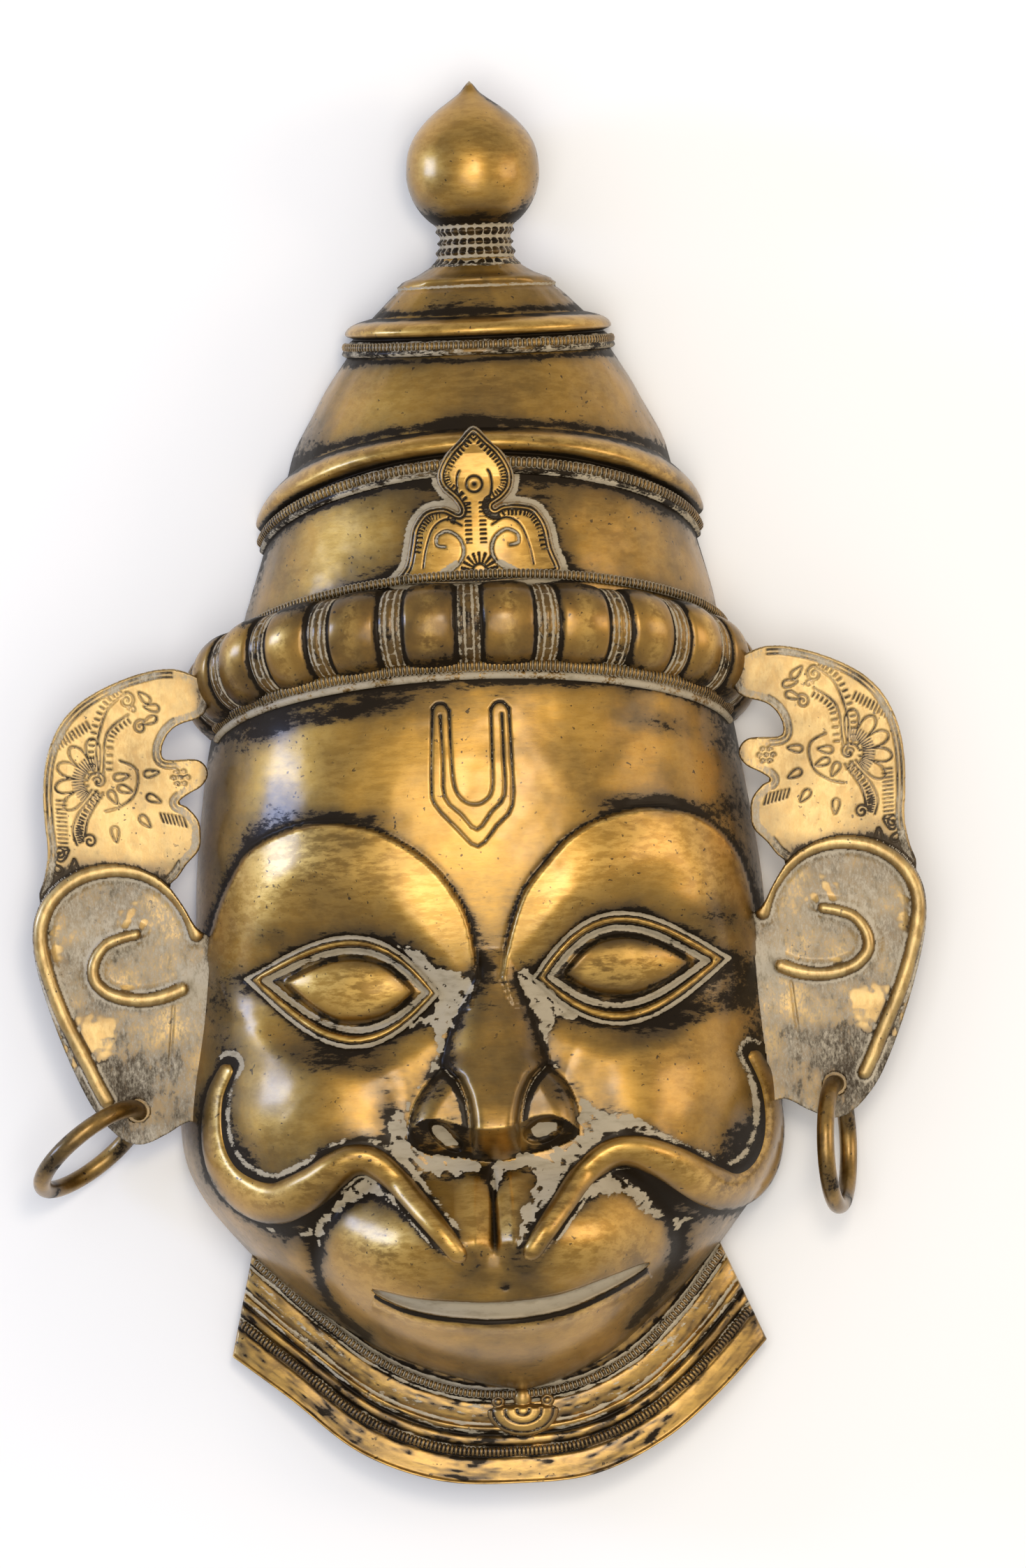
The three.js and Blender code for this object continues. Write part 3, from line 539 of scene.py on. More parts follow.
tilak = {
    "outer": smoothPath([(-25.4, 332), (-26.6, 312), (-27, 299), (-26, 291.5), (-17, 281), (-8.3, 273),
                         (0, 281.5), (7, 290), (7.4, 310), (7, 331)], 3),
    "middle": smoothPath([(-22.2, 329), (-21.8, 310), (-21.6, 294.5), (-15, 287), (-8.4, 280.2),
                          (-2, 287.5), (3.8, 294.5), (4, 312), (4, 329)], 3),
    "inner": smoothPath([(-18.4, 331), (-18.2, 312), (-17.4, 299), (-14, 293), (-9.6, 291), (-5, 292),
                         (-1.4, 297), (-0.8, 312), (-0.6, 331)], 4),
}
tilak["tops"] = [smoothPath([(-25.4, 332), (-23.6, 334), (-20.5, 334), (-18.4, 331)], 3),
                 smoothPath([(-0.6, 331), (1.4, 333.6), (4.6, 333.8), (7, 331)], 3)]


def ridge(distance, half):
    return np.sqrt(np.maximum(1 - (distance / half) ** 2, 0))


def browAndEye(side, x, y):
    # The raised lid under each brow arc, and the lens-shaped eye with its two grooves
    distance = distanceTo(browArcs[side], x, y)
    under = insideOf(underBrow[side], x, y)
    fade = smoothStep(192, 240, y)
    swelling = 3.4 * smoothStep(0, 1.6, distance) * np.maximum(1 - distance / 58, 0)
    swelling += 3.2 * hump(distance - 20, 15)
    rise = np.where(under, swelling * fade, -0.5 * hump(distance, 1.6) * fade)
    above = 0.4 * fading(distance, 8) + 0.5 * fading(distance, 1.3)
    grimeAndShade = np.where(under, 0.35 * fading(distance, 0.8), above) * smoothStep(218, 240, y)
    wearAndHighlight = np.where(under, 0.8 * hump(distance - 1.8, 1.2) + 0.5 * hump(distance - 14, 11), 0)
    outer, inner, ball = [signedDistance(eyeLines[side][ring], x, y) for ring in ("outer", "inner", "ball")]
    rise = rise - 2.6 * smoothStep(-15, 0, outer)
    band = (outer > 0) & (inner < 0)
    middle = np.clip(outer / np.maximum(outer - inner, 0.5), 0, 1)
    ring = np.clip((middle - 0.2) / 0.5, 0, 1)
    crest = np.where(band, np.sqrt(4 * ring * (1 - ring)), 0)
    rise = rise + 3.0 * crest - 1.0 * hump(outer, 1.0) - 1.2 * hump(inner, 1.6)
    rise = rise + np.where(inner > 0, -1.0, 0)
    eyeX, eyeY = eyeForms[side]["middle"]
    halfLength, above, below, shift = eyeForms[side]["ball"]
    high = (y - eyeY - 0.5 * (above - below)) * 2 / (above + below)
    reach = ((x - eyeX - shift) / halfLength) ** 2 + high ** 2
    bulge = (11.5 * np.sqrt(np.clip(1 - 0.86 * reach, 0, 1)) - 2.6) * smoothStep(-1.2, 1.2, ball)
    rise = rise + np.where(ball > -1.2, bulge, 0)
    patchy = 0.88 + 0.2 * softNoise(x, y, 9, 7) + 0.2 * softNoise(x, y, 2.4, 4)
    chalk = np.maximum(np.exp(-(outer / 1.0) ** 4), np.exp(-((inner - 0.1) / 1.6) ** 4)) * patchy
    grimeAndShade += np.where(outer < 0, 0.38 * np.exp(outer / 9) + 0.62 * np.exp(outer / 2.4), 0)
    grimeAndShade += np.where(band, 0.9 * (1 - smoothStep(0, 0.35, ring * (1 - ring) * 4)), 0)
    grimeAndShade += np.where((inner > 0) & (ball < 0.5), 0.65 + 0.3 * softNoise(x, y, 4, 6), 0)
    grimeAndShade += np.where(ball >= 0.5, (0.6 + 0.3 * softNoise(x, y, 6, 5)) * fading(ball, 3.0), 0)
    # Rubbed gold along the ring's crest; a painted highlight over the middle of the eyeball, which is also
    # made less dark
    wearAndHighlight += 0.9 * smoothStep(0.6, 1, crest) + 0.9 * smoothStep(2.5, 7, ball)
    grimeAndShade = grimeAndShade - 0.14 * smoothStep(3, 8, ball)
    return rise, grimeAndShade, chalk, wearAndHighlight


def faceRelief(x, y):
    # Height above the plain dome, with the marks of wear and dirt that go with it
    rise = softRise(x, y)
    grimeAndShade = np.full(np.shape(x), 0.1)
    chalk = np.zeros(np.shape(x))
    wearAndHighlight = np.full(np.shape(x), 0.25)
    for side in ("left", "right"):
        up, dirt, pale, bright = browAndEye(side, x, y)
        rise, grimeAndShade, wearAndHighlight = rise + up, grimeAndShade + dirt, wearAndHighlight + bright
        chalk = np.maximum(chalk, pale)
        line = moustache[side]
        distance, nearX, nearY, along = nearestOn(line, x, y)
        share = along / max(np.hypot(*np.diff(line, axis=0).T).sum(), 1)
        edge = distance - moustache["half"](share)
        rise = rise + 3.0 * fading(edge, 8) * smoothStep(0.05, 0.3, share)
        dirt = 0.36 * fading(edge, 9) + 0.62 * fading(edge, 2.0)
        grimeAndShade += dirt * (1 - 0.6 * smoothStep(0.88, 0.98, share))
        # Pale polish all along the cheek side, a thinner line on the other side of the inner blade
        way = 1 if side == "left" else -1
        cheekSide = (y - nearY) + 0.6 * way * (x - nearX) > 0
        patchy = 0.72 + 0.4 * softNoise(x, y, 11, 4) + 0.3 * softNoise(x, y, 2.6, 8)
        pale = np.where(cheekSide, hump(edge - 1.5, 1.9 if side == "right" else 1.5),
                        0.85 * hump(edge - 0.8, 0.9) * (share > 0.55))
        chalk = np.maximum(chalk, pale * patchy * (1 - smoothStep(0.9, 0.96, share)))
    share, bridge, dome, wing, front, fall = noseParts(x, y)
    nose = np.maximum(bridge, dome)
    rise = rise + nose * fall ** 0.75
    onNose = nose > 0.6
    above = y > front
    onBridge = (share < 1) * above * (1 - smoothStep(212, 226, y))
    # The bridge a little darker, more towards its flanks as painted shade; the wings darker brown
    grimeAndShade += onBridge * (0.2 + 0.2 * smoothStep(0.6, 1, share)) + 0.3 * onNose * above * (share > 1)
    grimeAndShade += 0.55 * hump(share - 1, 0.06) * (y > 178) * (y < 216)
    # A fine raised lip where the bridge stands over each wing, black just outside it
    lip = above * (y < 179) * (wing > 0)
    grimeAndShade += 0.95 * hump(share - 1.1, 0.09) * lip
    wearAndHighlight += 1.2 * hump(share - 0.95, 0.05) * lip
    chalk = np.maximum(chalk, 0.62 * hump(share - 0.99, 0.035) * lip)
    # Painted highlight: a bright line just above the nose's front edge
    wearAndHighlight += 0.9 * hump(y - front - 0.8, 1.2) * onNose
    # Painted shade under the nose, lighter in the middle
    under = onNose * (y < front) * (fall > 0)
    grimeAndShade += under * (0.55 - 0.6 * np.exp(-((x + 5) / 6) ** 4) + 0.2 * softNoise(x, y, 5, 3))
    for nostril in noseForm["nostrils"]:
        reach = np.hypot(*withinOval(x, y, *nostril))
        rise = rise - 4.5 * np.maximum(1 - (reach * 0.72) ** 2, 0) ** 0.6 * under
        filled = 1 - smoothStep(0.75, 1.1, reach + 0.25 * softNoise(x, y, 3, 5))
        chalk = np.maximum(chalk, 0.9 * filled * under)
    # Philtrum and the two facets beside it
    fade = smoothStep(99, 106, y) * (1 - smoothStep(131, 139, y))
    side = x - noseForm["philtrumX"]
    groove = hump(side, 1.3) * fade
    facet = np.maximum(1 - np.abs(np.abs(side) - 8) / 8, 0) * fade
    rise = rise + 3.4 * facet - 2.4 * groove
    # Dark in the philtrum groove, and a painted shadow in a band just below the nose
    grimeAndShade += 0.9 * groove + 0.45 * spot(x, y, -7, 133, 20, 6)
    wearAndHighlight += 0.6 * facet
    frayed = 1.3 * softNoise(x, y, 6, 9) + 0.9 * softNoise(x, y, 2.0, 4) - 0.7
    frayed = frayed + 1.3 * softNoise(x + y, (y - x) / 3, 2.4, 8)
    holes = smoothStep(0.35, 0.6, softNoise(x + y, (y - x) / 2, 2.6, 6))
    for outline in palePatches:
        inside = signedDistance(outline, x, y) + frayed
        chalk = np.maximum(chalk, smoothStep(-0.5, 0.8, inside) * (0.86 - 0.5 * holes))
        grimeAndShade += 0.36 * fading(-inside, 3.0)
    # The mouth: a crescent groove with a lip below
    distance, nearX, nearY, _ = nearestOn(mouthLine, x, y)
    openHalf = mouth["open"] * ridge(nearX - mouth["middleX"], mouth["half"])
    cut = (1 - smoothStep(0.7, 1.1, distance / np.maximum(openHalf, 0.3))) * (openHalf > 0.3)
    belowMouth = nearY - y
    onMouth = np.abs(nearX - mouth["middleX"]) < mouth["half"] - 1.5
    lip = hump(belowMouth - openHalf - 3, 2.6) * onMouth
    rise = rise - 3.4 * cut + 2.2 * lip
    chalk = np.maximum(chalk, 0.98 * cut)
    grimeAndShade += 0.95 * hump(belowMouth - openHalf - 0.9, 0.9) * onMouth
    grimeAndShade += 0.3 * fading(distance - openHalf, 6) * onMouth
    wearAndHighlight += 0.8 * lip
    # Painted highlight on each muzzle lobe: brighter gold and a little less dark
    for lobeX in (-48, 30):
        onLobe = spot(x, y, lobeX, 103, 22, 14)
        wearAndHighlight, grimeAndShade = wearAndHighlight + 0.6 * onLobe, grimeAndShade - 0.1 * onLobe
    # Creases round the muzzle
    for path in creases:
        distance = distanceTo(path, x, y)
        rise = rise - 4.2 * hump(distance, 4.5)
        grimeAndShade += 0.5 * hump(distance, 6) + 0.3 * hump(distance, 1.6)
    chip = spot(x, y, -4, 86, 2.4, 1.6)
    rise, grimeAndShade = rise - 0.7 * chip, grimeAndShade + 0.5 * chip
    # Tilak lines chased into the brow
    for path in (tilak["outer"], tilak["middle"], tilak["inner"], *tilak["tops"]):
        distance = distanceTo(path, x, y)
        rise = rise - 0.55 * hump(distance, 0.6)
        grimeAndShade += 0.75 * hump(distance, 0.55)
        chalk = np.maximum(chalk, 0.5 * hump(distance, 0.45))
    # Darker just below the headband, painted shade down the sides and under the chin, and loose dark
    # patches
    angle = np.arccos(np.clip((x - bandForm["middleX"]) / 113, -1, 1))
    below = 318 + 27 * np.sin(angle) - y
    grimeAndShade += 0.55 * fading(below, 10) + 0.55 * fading(below, 2.5)
    for *oval, strength in smears:
        along, up = withinOval(x, y, *oval)
        grimeAndShade += strength * np.exp(-(along ** 2 + up ** 2))
    grimeAndShade += 0.16 * softNoise(x, y, 30, 6) + 0.1 * softNoise(x, y, 12, 5)
    # Painted shade on the face's outer sides and under the chin
    jaw = smoothStep(0.7, 1.0, np.abs(x - faceMiddle(y)) / faceHalf(y))
    grimeAndShade += 0.16 * jaw + 0.35 * (1 - smoothStep(46, 66, y))
    return rise + hammered(x, y, 0.4), grimeAndShade, chalk, wearAndHighlight


# The headband's own line round the brow, which the dirt below it follows too
bandForm = {"middleX": -8.5, "ribPitch": math.radians(16.4), "reach": (107, 26, 76), "start": (341, 13),
            "radii": (15.5, 18.3), "overhang": math.radians(9.5)}


def evenly(weighted, count=4001):
    # Turns even steps from 0 to 1 into steps that are even along a weighted line
    t = np.linspace(0, 1, count)
    run = np.concatenate([[0], np.cumsum(weighted(t))[:-1]])
    run = run / run[-1]
    return lambda share: np.interp(share, run, t)


def acrossWeight(t):
    angle = np.pi * (1 - t)
    x = 120 * np.sign(np.cos(angle)) * np.abs(np.cos(angle)) ** (2 / faceSize["squareness"])
    z = 98 * np.sin(angle)
    length = np.hypot(np.gradient(x), np.gradient(z))
    return length * (0.42 + 0.58 * smoothStep(0.4, 0.75, np.sin(angle)))


def upWeight(t):
    y = within(faceSize["span"], t)
    return np.hypot(np.gradient(y), 0.6 * np.gradient(faceDepth(y)))


faceAcross, faceUp = evenly(acrossWeight), evenly(upWeight)


def domePlace(p, q):
    angle = np.pi * (1 - faceAcross(p))
    y = within(faceSize["span"], faceUp(q))
    cosine, sine = np.cos(angle), np.sin(angle)
    x = faceMiddle(y) + faceHalf(y) * np.sign(cosine) * np.abs(cosine) ** (2 / faceSize["squareness"])
    return x, y, faceDepth(y) * sine, sine


def faceShape(p, q):
    x, y, z, sine = domePlace(p, q)
    rise, grimeAndShade, chalk, wearAndHighlight = faceRelief(x, y)
    z += rise * smoothStep(0.02, 0.35, sine)
    # Painted shade on the dome's steep sides
    grimeAndShade += 0.12 * (1 - smoothStep(0.1, 0.5, sine))
    return np.stack([x, y, np.maximum(z, 0)], 1), {"grimeAndShade": grimeAndShade, "chalk": chalk, "wearAndHighlight": wearAndHighlight}


def carvedZone(p, q):
    # Where the face is carved: eyes, brow edges, nose, mouth, moustache and tilak
    x, y, _, sine = domePlace(p, q)
    zone = (np.abs(x + 6) < 46) & (y > 100) & (y < 224)
    for side in ("left", "right"):
        zone |= signedDistance(eyeLines[side]["outer"], x, y) > -5
        zone |= distanceTo(browArcs[side], x, y) < 5
        zone |= distanceTo(moustache[side], x, y) < 13
    zone |= distanceTo(mouthLine, x, y) < 10
    zone |= (np.abs(x + 9.5) < 20) & (y > 270) & (y < 336)
    return zone & (sine > 0.2)


def lineZone(p, q):
    # The finest lines
    x, y, _, sine = domePlace(p, q)
    zone = distanceTo(mouthLine, x, y) < 6.5
    for side in ("left", "right"):
        lines = eyeLines[side]
        zone |= distanceTo(lines["outer"], x, y, True) < 2.2
        zone |= distanceTo(lines["inner"], x, y, True) < 2.6
    for path in (tilak["outer"], tilak["middle"], tilak["inner"], *tilak["tops"]):
        zone |= distanceTo(path, x, y) < 1.9
    zone |= (np.abs(x + 6) < 38) & (np.abs(y - 159) < 21)
    return zone & (sine > 0.2)


def faceZ(x, y):
    x, y = np.asarray(x, float), np.asarray(y, float)
    reach = np.minimum(np.abs(x - faceMiddle(y)) / faceHalf(y), 1)
    sine = np.sqrt(1 - reach ** faceSize["squareness"])
    return faceDepth(y) * sine + softRise(x, y) * smoothStep(0.02, 0.35, sine)


shellPiece("face", 150, 170, faceShape, zones=(carvedZone, lineZone), weld=0.05)


def insideShape(p, q):
    # The plain inner skin of the face, one wall in from the dome
    angle = np.pi * (1 - p)
    y = within(faceSize["insideSpan"], q)
    cosine, sine = np.cos(angle), np.sin(angle)
    half = np.maximum(faceHalf(y) - bench["wall"], 0.5)
    x = faceMiddle(y) + half * np.sign(cosine) * np.abs(cosine) ** (2 / faceSize["squareness"])
    rise = (np.minimum(softRise(x, y), 8) - 4) * smoothStep(0.02, 0.35, sine)
    z = np.maximum((faceDepth(y) - bench["wall"]) * sine + rise, 0)
    return np.stack([x, y, z], 1), {"grimeAndShade": 0.55 + 0.2 * softNoise(x, y, 20, 7), "wearAndHighlight": 0.1}


shellPiece("face_inside", 64, 70, insideShape, flip=True)
print("face done")

# The moustache: two thick curled bars over the cheeks

def moustacheShape(side):
    line = moustache[side]
    steps = np.hypot(*np.diff(line, axis=0).T)
    run = np.concatenate([[0], np.cumsum(steps)])
    run = run / run[-1]

    def shape(p, q):
        share = p
        x, y = np.interp(share, run, line[:, 0]), np.interp(share, run, line[:, 1])
        ahead = np.clip(share + 0.01, 0, 1)
        behind = np.clip(share - 0.01, 0, 1)
        dx = np.interp(ahead, run, line[:, 0]) - np.interp(behind, run, line[:, 0])
        dy = np.interp(ahead, run, line[:, 1]) - np.interp(behind, run, line[:, 1])
        length = np.hypot(dx, dy)
        acrossX, acrossY = dy / length, -dx / length
        ends = np.sqrt(np.clip(1 - np.maximum((0.018 - share) / 0.018, 0) ** 2, 0, 1))
        ends = ends * np.sqrt(np.clip(1 - np.maximum((share - 0.965) / 0.035, 0) ** 2, 0, 1))
        around = np.pi * (1.12 - 1.24 * q)
        half = moustache["half"](share) * ends
        high = moustache["height"](share) * (0.25 + 0.75 * ends)
        reach = -np.cos(around)
        offset = reach * half
        px, py = x + acrossX * offset, y + acrossY * offset
        # The crest sits towards the cheek, with a longer slope on the jaw side
        jawSide = reach if side == "left" else -reach
        fromCrest = (jawSide + 0.22) / np.where(jawSide > -0.22, 1.22, 0.78)
        crest = np.sin(around)
        profile = np.where(crest < 0, crest, np.sqrt(np.clip(1 - fromCrest ** 2, 0, 1)))
        z = 0.45 * faceZ(x, y) + 0.55 * faceZ(px, py) + high * profile - 1.0 + hammered(px, py, 0.25)
        # Painted shade: darker towards the bar's edges and over its slope on the jaw side
        grimeAndShade = 0.12 + 0.6 * fading(profile, 0.3) + 0.3 * smoothStep(0.3, 1, jawSide)
        grimeAndShade += 0.16 * softNoise(px, py, 16, 8)
        chalk = 0.5 * hump(crest - 0.05, 0.16) * smoothStep(-0.2, 0.6, softNoise(px, py, 11, 9))
        wearAndHighlight = 0.25 + 0.7 * hump(fromCrest, 0.35)
        return np.stack([px, py, z], 1), {"grimeAndShade": grimeAndShade, "chalk": chalk, "wearAndHighlight": wearAndHighlight}

    return shape


for side in ("left", "right"):
    shellPiece("moustache_" + side, 200, 22, moustacheShape(side), flip=True)

# The crown: half width, middle, depth and the height of its own axis above the back plane

crownSize = {
    "half": [(330, 101), (352, 104), (375, 100.5), (400, 93.3), (420, 87.5), (433, 82.5), (445, 79),
             (460, 71), (470, 65.5), (484, 56.5), (498, 47.3), (505, 40.5), (511, 34.5), (512.5, 34.5),
             (514, 31), (518, 24), (522, 18), (526, 16)],
    "middle": [(330, -6), (375, -3.5), (400, -2.5), (450, -1.2), (484, 0), (522, 0.5)],
    "depth": [(330, 88), (352, 90), (385, 88), (410, 85), (433, 80), (445, 78), (460, 74), (484, 65.5),
              (498, 60), (511, 54), (518, 50), (522, 46.6), (526, 44.6)],
    "axis": [(445, 0), (460, 3), (484, 11), (498, 18), (511, 25), (522, 28.6)],
    "span": (346, 524), "insideSpan": (346, 517), "rimSpan": (40, 508),
    # Lines that soot gathers along: height in front, height at the side and reach
    "soot": [(430, 401, 8), (453, 434, 8), (389, 362, 7), (480, 483, 4), (501, 501, 3)],
}
crownHalf, crownMiddle, crownDepth, crownAxis = [
    curveThrough(crownSize[key]) for key in ("half", "middle", "depth", "axis")]


def crownPlace(angle, y, grow=0.0):
    front = crownDepth(y) - crownAxis(y) + grow
    sine = np.sin(angle)
    x = crownMiddle(y) + (crownHalf(y) + grow) * np.cos(angle)
    z = crownAxis(y) + np.where(sine > 0, front, crownHalf(y) + grow) * sine
    return x, y + np.zeros_like(x), z


def crownUnder(y, grow=0.0):
    # How far below its own axis the crown still runs before the back plane
    return np.arcsin(np.clip(crownAxis(y) / (crownHalf(y) + grow), 0, 1))


def bandFront(angle, front, sideHeight):
    return sideHeight + (front - sideHeight) * np.maximum(np.sin(angle), 0)


# The three-lobed ornament: the corner and size of its grid, its edge, and the left lobe's chased lines
ornamentForm = {
    "corner": (-43, 382), "size": (78, 72), "eye": (-4, 427), "sun": (-3, 390), "mirror": -7,
    "edge": smoothPath([(-3.5, 452), (3.5, 446), (9.5, 439.5), (13, 432), (12.6, 425), (9, 420),
                        (4.5, 417), (8, 418.6), (15, 418.6), (22, 416.5), (27, 409), (29, 399), (32, 388),
                        (20, 385.6), (-4, 384.6), (-28, 385), (-40, 386), (-35, 393), (-32.8, 402),
                        (-31, 410), (-25.5, 416.8), (-17, 418.2), (-11, 415.5), (-13, 420),
                        (-18.4, 425.5), (-19.8, 432), (-16.4, 439.5), (-10.4, 446)], 4, closed=True),
    "curl": smoothPath([(-29, 387), (-20, 388.5), (-12.5, 392.5), (-9.5, 398), (-11, 404), (-16, 407.3),
                        (-20.5, 405.3), (-20.8, 401.5), (-17.5, 400.6)], 4),
    "crescent": smoothPath([(-31, 387.4), (-22, 388.2), (-13, 393.5)], 4),
    "rib": smoothPath([(-27, 392), (-25.5, 400), (-22, 409), (-16, 412.4), (-10, 409.5)], 4),
}


def crownShape(p, q):
    y = within(crownSize["span"], q)
    under = crownUnder(y)
    angle = np.pi + under - (np.pi + 2 * under) * p
    bump = 2.2 * hump(y - 515, 1.6) - 1.0 * hump(y - 511.5, 1.2)
    x, y, z = crownPlace(angle, y, bump + hammered(100 * angle, y, 0.35))
    rise = np.maximum(np.sin(angle), 0)
    grimeAndShade = np.full(np.shape(x), 0.12)
    for front, sideHeight, reach in crownSize["soot"]:
        distance = np.abs(y - bandFront(angle, front, sideHeight))
        grimeAndShade += 0.42 * fading(distance, reach) + 0.36 * fading(distance, 2.0)
    # Random dark clouds, and painted shade down the crown's sides
    grimeAndShade += 0.2 * smoothStep(0.0, 0.8, softNoise(100 * angle, y, 30, 5)) + 0.4 * (1 - rise) ** 2
    grimeAndShade += 0.22 * smoothStep(500, 508, y)
    chalk = 0.8 * hump(y - 512, 0.9) + 0.7 * hump(y - 522, 2.0)
    ornamentEdge = signedDistance(ornamentForm["edge"], x, y)
    grimeAndShade += 0.5 * fading(np.abs(ornamentEdge + 2), 5) * (z > 20)
    chalk = np.maximum(chalk, 0.95 * hump(ornamentEdge + 1.0, 1.5) * (z > 20) * (y < 446))
    return np.stack([x, y, np.maximum(z, 0)], 1), {"grimeAndShade": grimeAndShade, "chalk": chalk, "wearAndHighlight": 0.3}


shellPiece("crown", 230, 190, crownShape, weld=0.05)


def crownInside(p, q):
    y = within(crownSize["insideSpan"], q)
    under = np.minimum(crownUnder(y, -bench["wall"]), np.pi / 2)
    angle = np.pi + under - (np.pi + 2 * under) * p
    x, y, z = crownPlace(angle, y, -bench["wall"])
    return np.stack([x, y, np.maximum(z, 0)], 1), {"grimeAndShade": 0.6, "wearAndHighlight": 0.1}


shellPiece("crown_inside", 60, 50, crownInside, flip=True)


def rimShape(side):
    # The flat edge of the shell, which the mask lies on
    def shape(p, q):
        y = within(crownSize["rimSpan"], q)
        grow = -bench["wall"] * p
        onFace = y < 347
        half = np.where(onFace, faceHalf(y) + grow, (crownHalf(y) + grow) * np.cos(crownUnder(y, grow)))
        middle = np.where(onFace, faceMiddle(y), crownMiddle(y))
        x = middle + side * np.maximum(half, 0.1)
        return np.stack([x, y, np.zeros_like(y)], 1), {"grimeAndShade": 0.3, "wearAndHighlight": 0.6}

    return shape


shellPiece("rim_left", 1, 220, rimShape(-1))
shellPiece("rim_right", 1, 220, rimShape(1), flip=True)

# Bands round the crown: height in front, height at the side and stand-off of each corner, from below

bandProfiles = {
    "mid_band": [(430.5, 400.5, -1.2), (432, 402, 1.6), (433.6, 403.5, 2.3), (436.2, 406, 2.3),
                 (438.8, 408.5, 2.0), (440.2, 409.8, 0.6), (441.4, 411, 3.6), (443.4, 413.5, 6.4),
                 (445.6, 417.5, 6.9), (448, 423, 5.6), (450, 429, 2.2), (451.5, 432.5, -1.2)],
    "top_band": [(481.5, 483.5, -1.2), (482.8, 484.8, 2.2), (484, 486, 3.2), (486.4, 488.4, 3.2),
                 (488.6, 490.6, 2.6), (489.8, 491.8, 2.0), (490.8, 492.8, 5.2), (492.4, 494, 7.0),
                 (494.8, 496.2, 7.2), (496.8, 498, 5.6), (498.4, 499.6, 1.6), (499.4, 500.4, -1.2)],
}


def mouldingShape(corners):
    last = len(corners) - 1
    front, sideHeight, standOff = [
        curveThrough([(i / last, corner[k]) for i, corner in enumerate(corners)]) for k in range(3)]

    def shape(p, q):
        height = 0.5 * (front(q) + sideHeight(q))
        under = crownUnder(height)
        angle = np.pi + under - (np.pi + 2 * under) * p
        y = bandFront(angle, front(q), sideHeight(q))
        x, y, z = crownPlace(angle, y, standOff(q) + hammered(100 * angle, y, 0.12))
        crest = standOff(q) / 7.0
        grimeAndShade = 0.85 - 0.9 * smoothStep(0.35, 0.9, crest) + 0.2 * softNoise(100 * angle, y, 15, 6)
        # Painted shade round the band's sides
        grimeAndShade += 0.6 * (1 - np.maximum(np.sin(angle), 0)) ** 1.5
        # Pale residue along the foot of the band, black in the groove above the beads
        foot = hump(q - 0.08, 0.035)
        chalk = 0.8 * foot + 0.5 * (crest < 0.5) * (q > 0.12) * (q < 0.4)
        chalk = chalk * (0.9 + 0.35 * softNoise(100 * angle, y, 8, 8))
        grimeAndShade = np.where((q > 0.38) & (q < 0.52), 1.2, grimeAndShade)
        return np.stack([x, y, np.maximum(z, 0)], 1), {"grimeAndShade": grimeAndShade, "chalk": chalk, "wearAndHighlight": 0.7 * crest}

    return shape


for name, corners in bandProfiles.items():
    shellPiece(name, 190, 30, mouldingShape(corners))


def rowPiece(name, path, look, columns, rows, profile, brass):
    # A raised row along a line of places; its profile gives its radius, its height and its marks
    run = np.concatenate([[0], np.cumsum(np.linalg.norm(np.diff(path, axis=0), axis=1))])

    def shape(p, q):
        at = p * run[-1]
        centre, before, after = [
            np.stack([np.interp(at + step, run, path[:, k]) for k in range(3)], 1)
            for step in (0, -look, look)]
        along = after - before
        along = along / np.maximum(np.linalg.norm(along, axis=1, keepdims=True), 1e-6)
        out = np.stack([centre[:, 0] * 0.006, np.zeros(len(p)), np.full(len(p), 0.8)], 1)
        out = out - along * np.sum(out * along, axis=1, keepdims=True)
        out = out / np.linalg.norm(out, axis=1, keepdims=True)
        around = np.pi * (1.15 - 1.3 * q)
        radius, height, marks = profile(at, around)
        place = centre + np.cross(along, out) * (np.cos(around) * radius)[:, None]
        return place + out * (np.sin(around) * height)[:, None], marks

    return shellPiece(name, columns, rows, shape, brass)


def beadRow(name, path, pitch, radius, brass="band", pale=1.0):
    # Small struck beads, pale in the gaps and along both sides
    length = np.linalg.norm(np.diff(path, axis=0), axis=1).sum()
    beads = max(int(round(length / pitch)), 2)

    def profile(at, around):
        swell = np.abs(np.sin(np.pi * beads * at / length)) ** 0.55
        size = radius * (0.62 + 0.38 * swell)
        chalk = 0.95 * smoothStep(0.2, 0.6, 1 - swell) + 0.85 * (np.abs(np.cos(around)) > 0.7)
        marks = {"grimeAndShade": 0.75 * (1 - swell) + 0.5, "chalk": pale * chalk, "wearAndHighlight": 0.6 * swell}
        return size, 0.8 * size, marks

    return rowPiece(name, path, 1.0, beads * 5, 6, profile, brass)


def aroundCrown(front, sideHeight, standOff, sweep=0.0, count=120):
    angle = np.linspace(np.pi - sweep, sweep, count)
    y = bandFront(angle, front, sideHeight)
    return np.stack(crownPlace(angle, y, standOff), 1)


beadRow("mid_band_beads", aroundCrown(436.2, 406, 2.4), 2.3, 2.4)
beadRow("top_band_beads", aroundCrown(486.4, 488.4, 3.2), 2.1, 2.0)
beadRow("lobe_band_upper_beads", aroundCrown(388.6, 362, 2.6, 0.1), 2.0, 2.2)
print("crown done")

# The lobed headband: a thick roll with a rib between each pair of lobes

def bandPlace(angle):
    reachX, reachY, reachZ = bandForm["reach"]
    startY, startZ = bandForm["start"]
    x, sine = bandForm["middleX"] + reachX * np.cos(angle), np.sin(angle)
    return np.stack([x, startY + reachY * sine, startZ + reachZ * sine], 1)


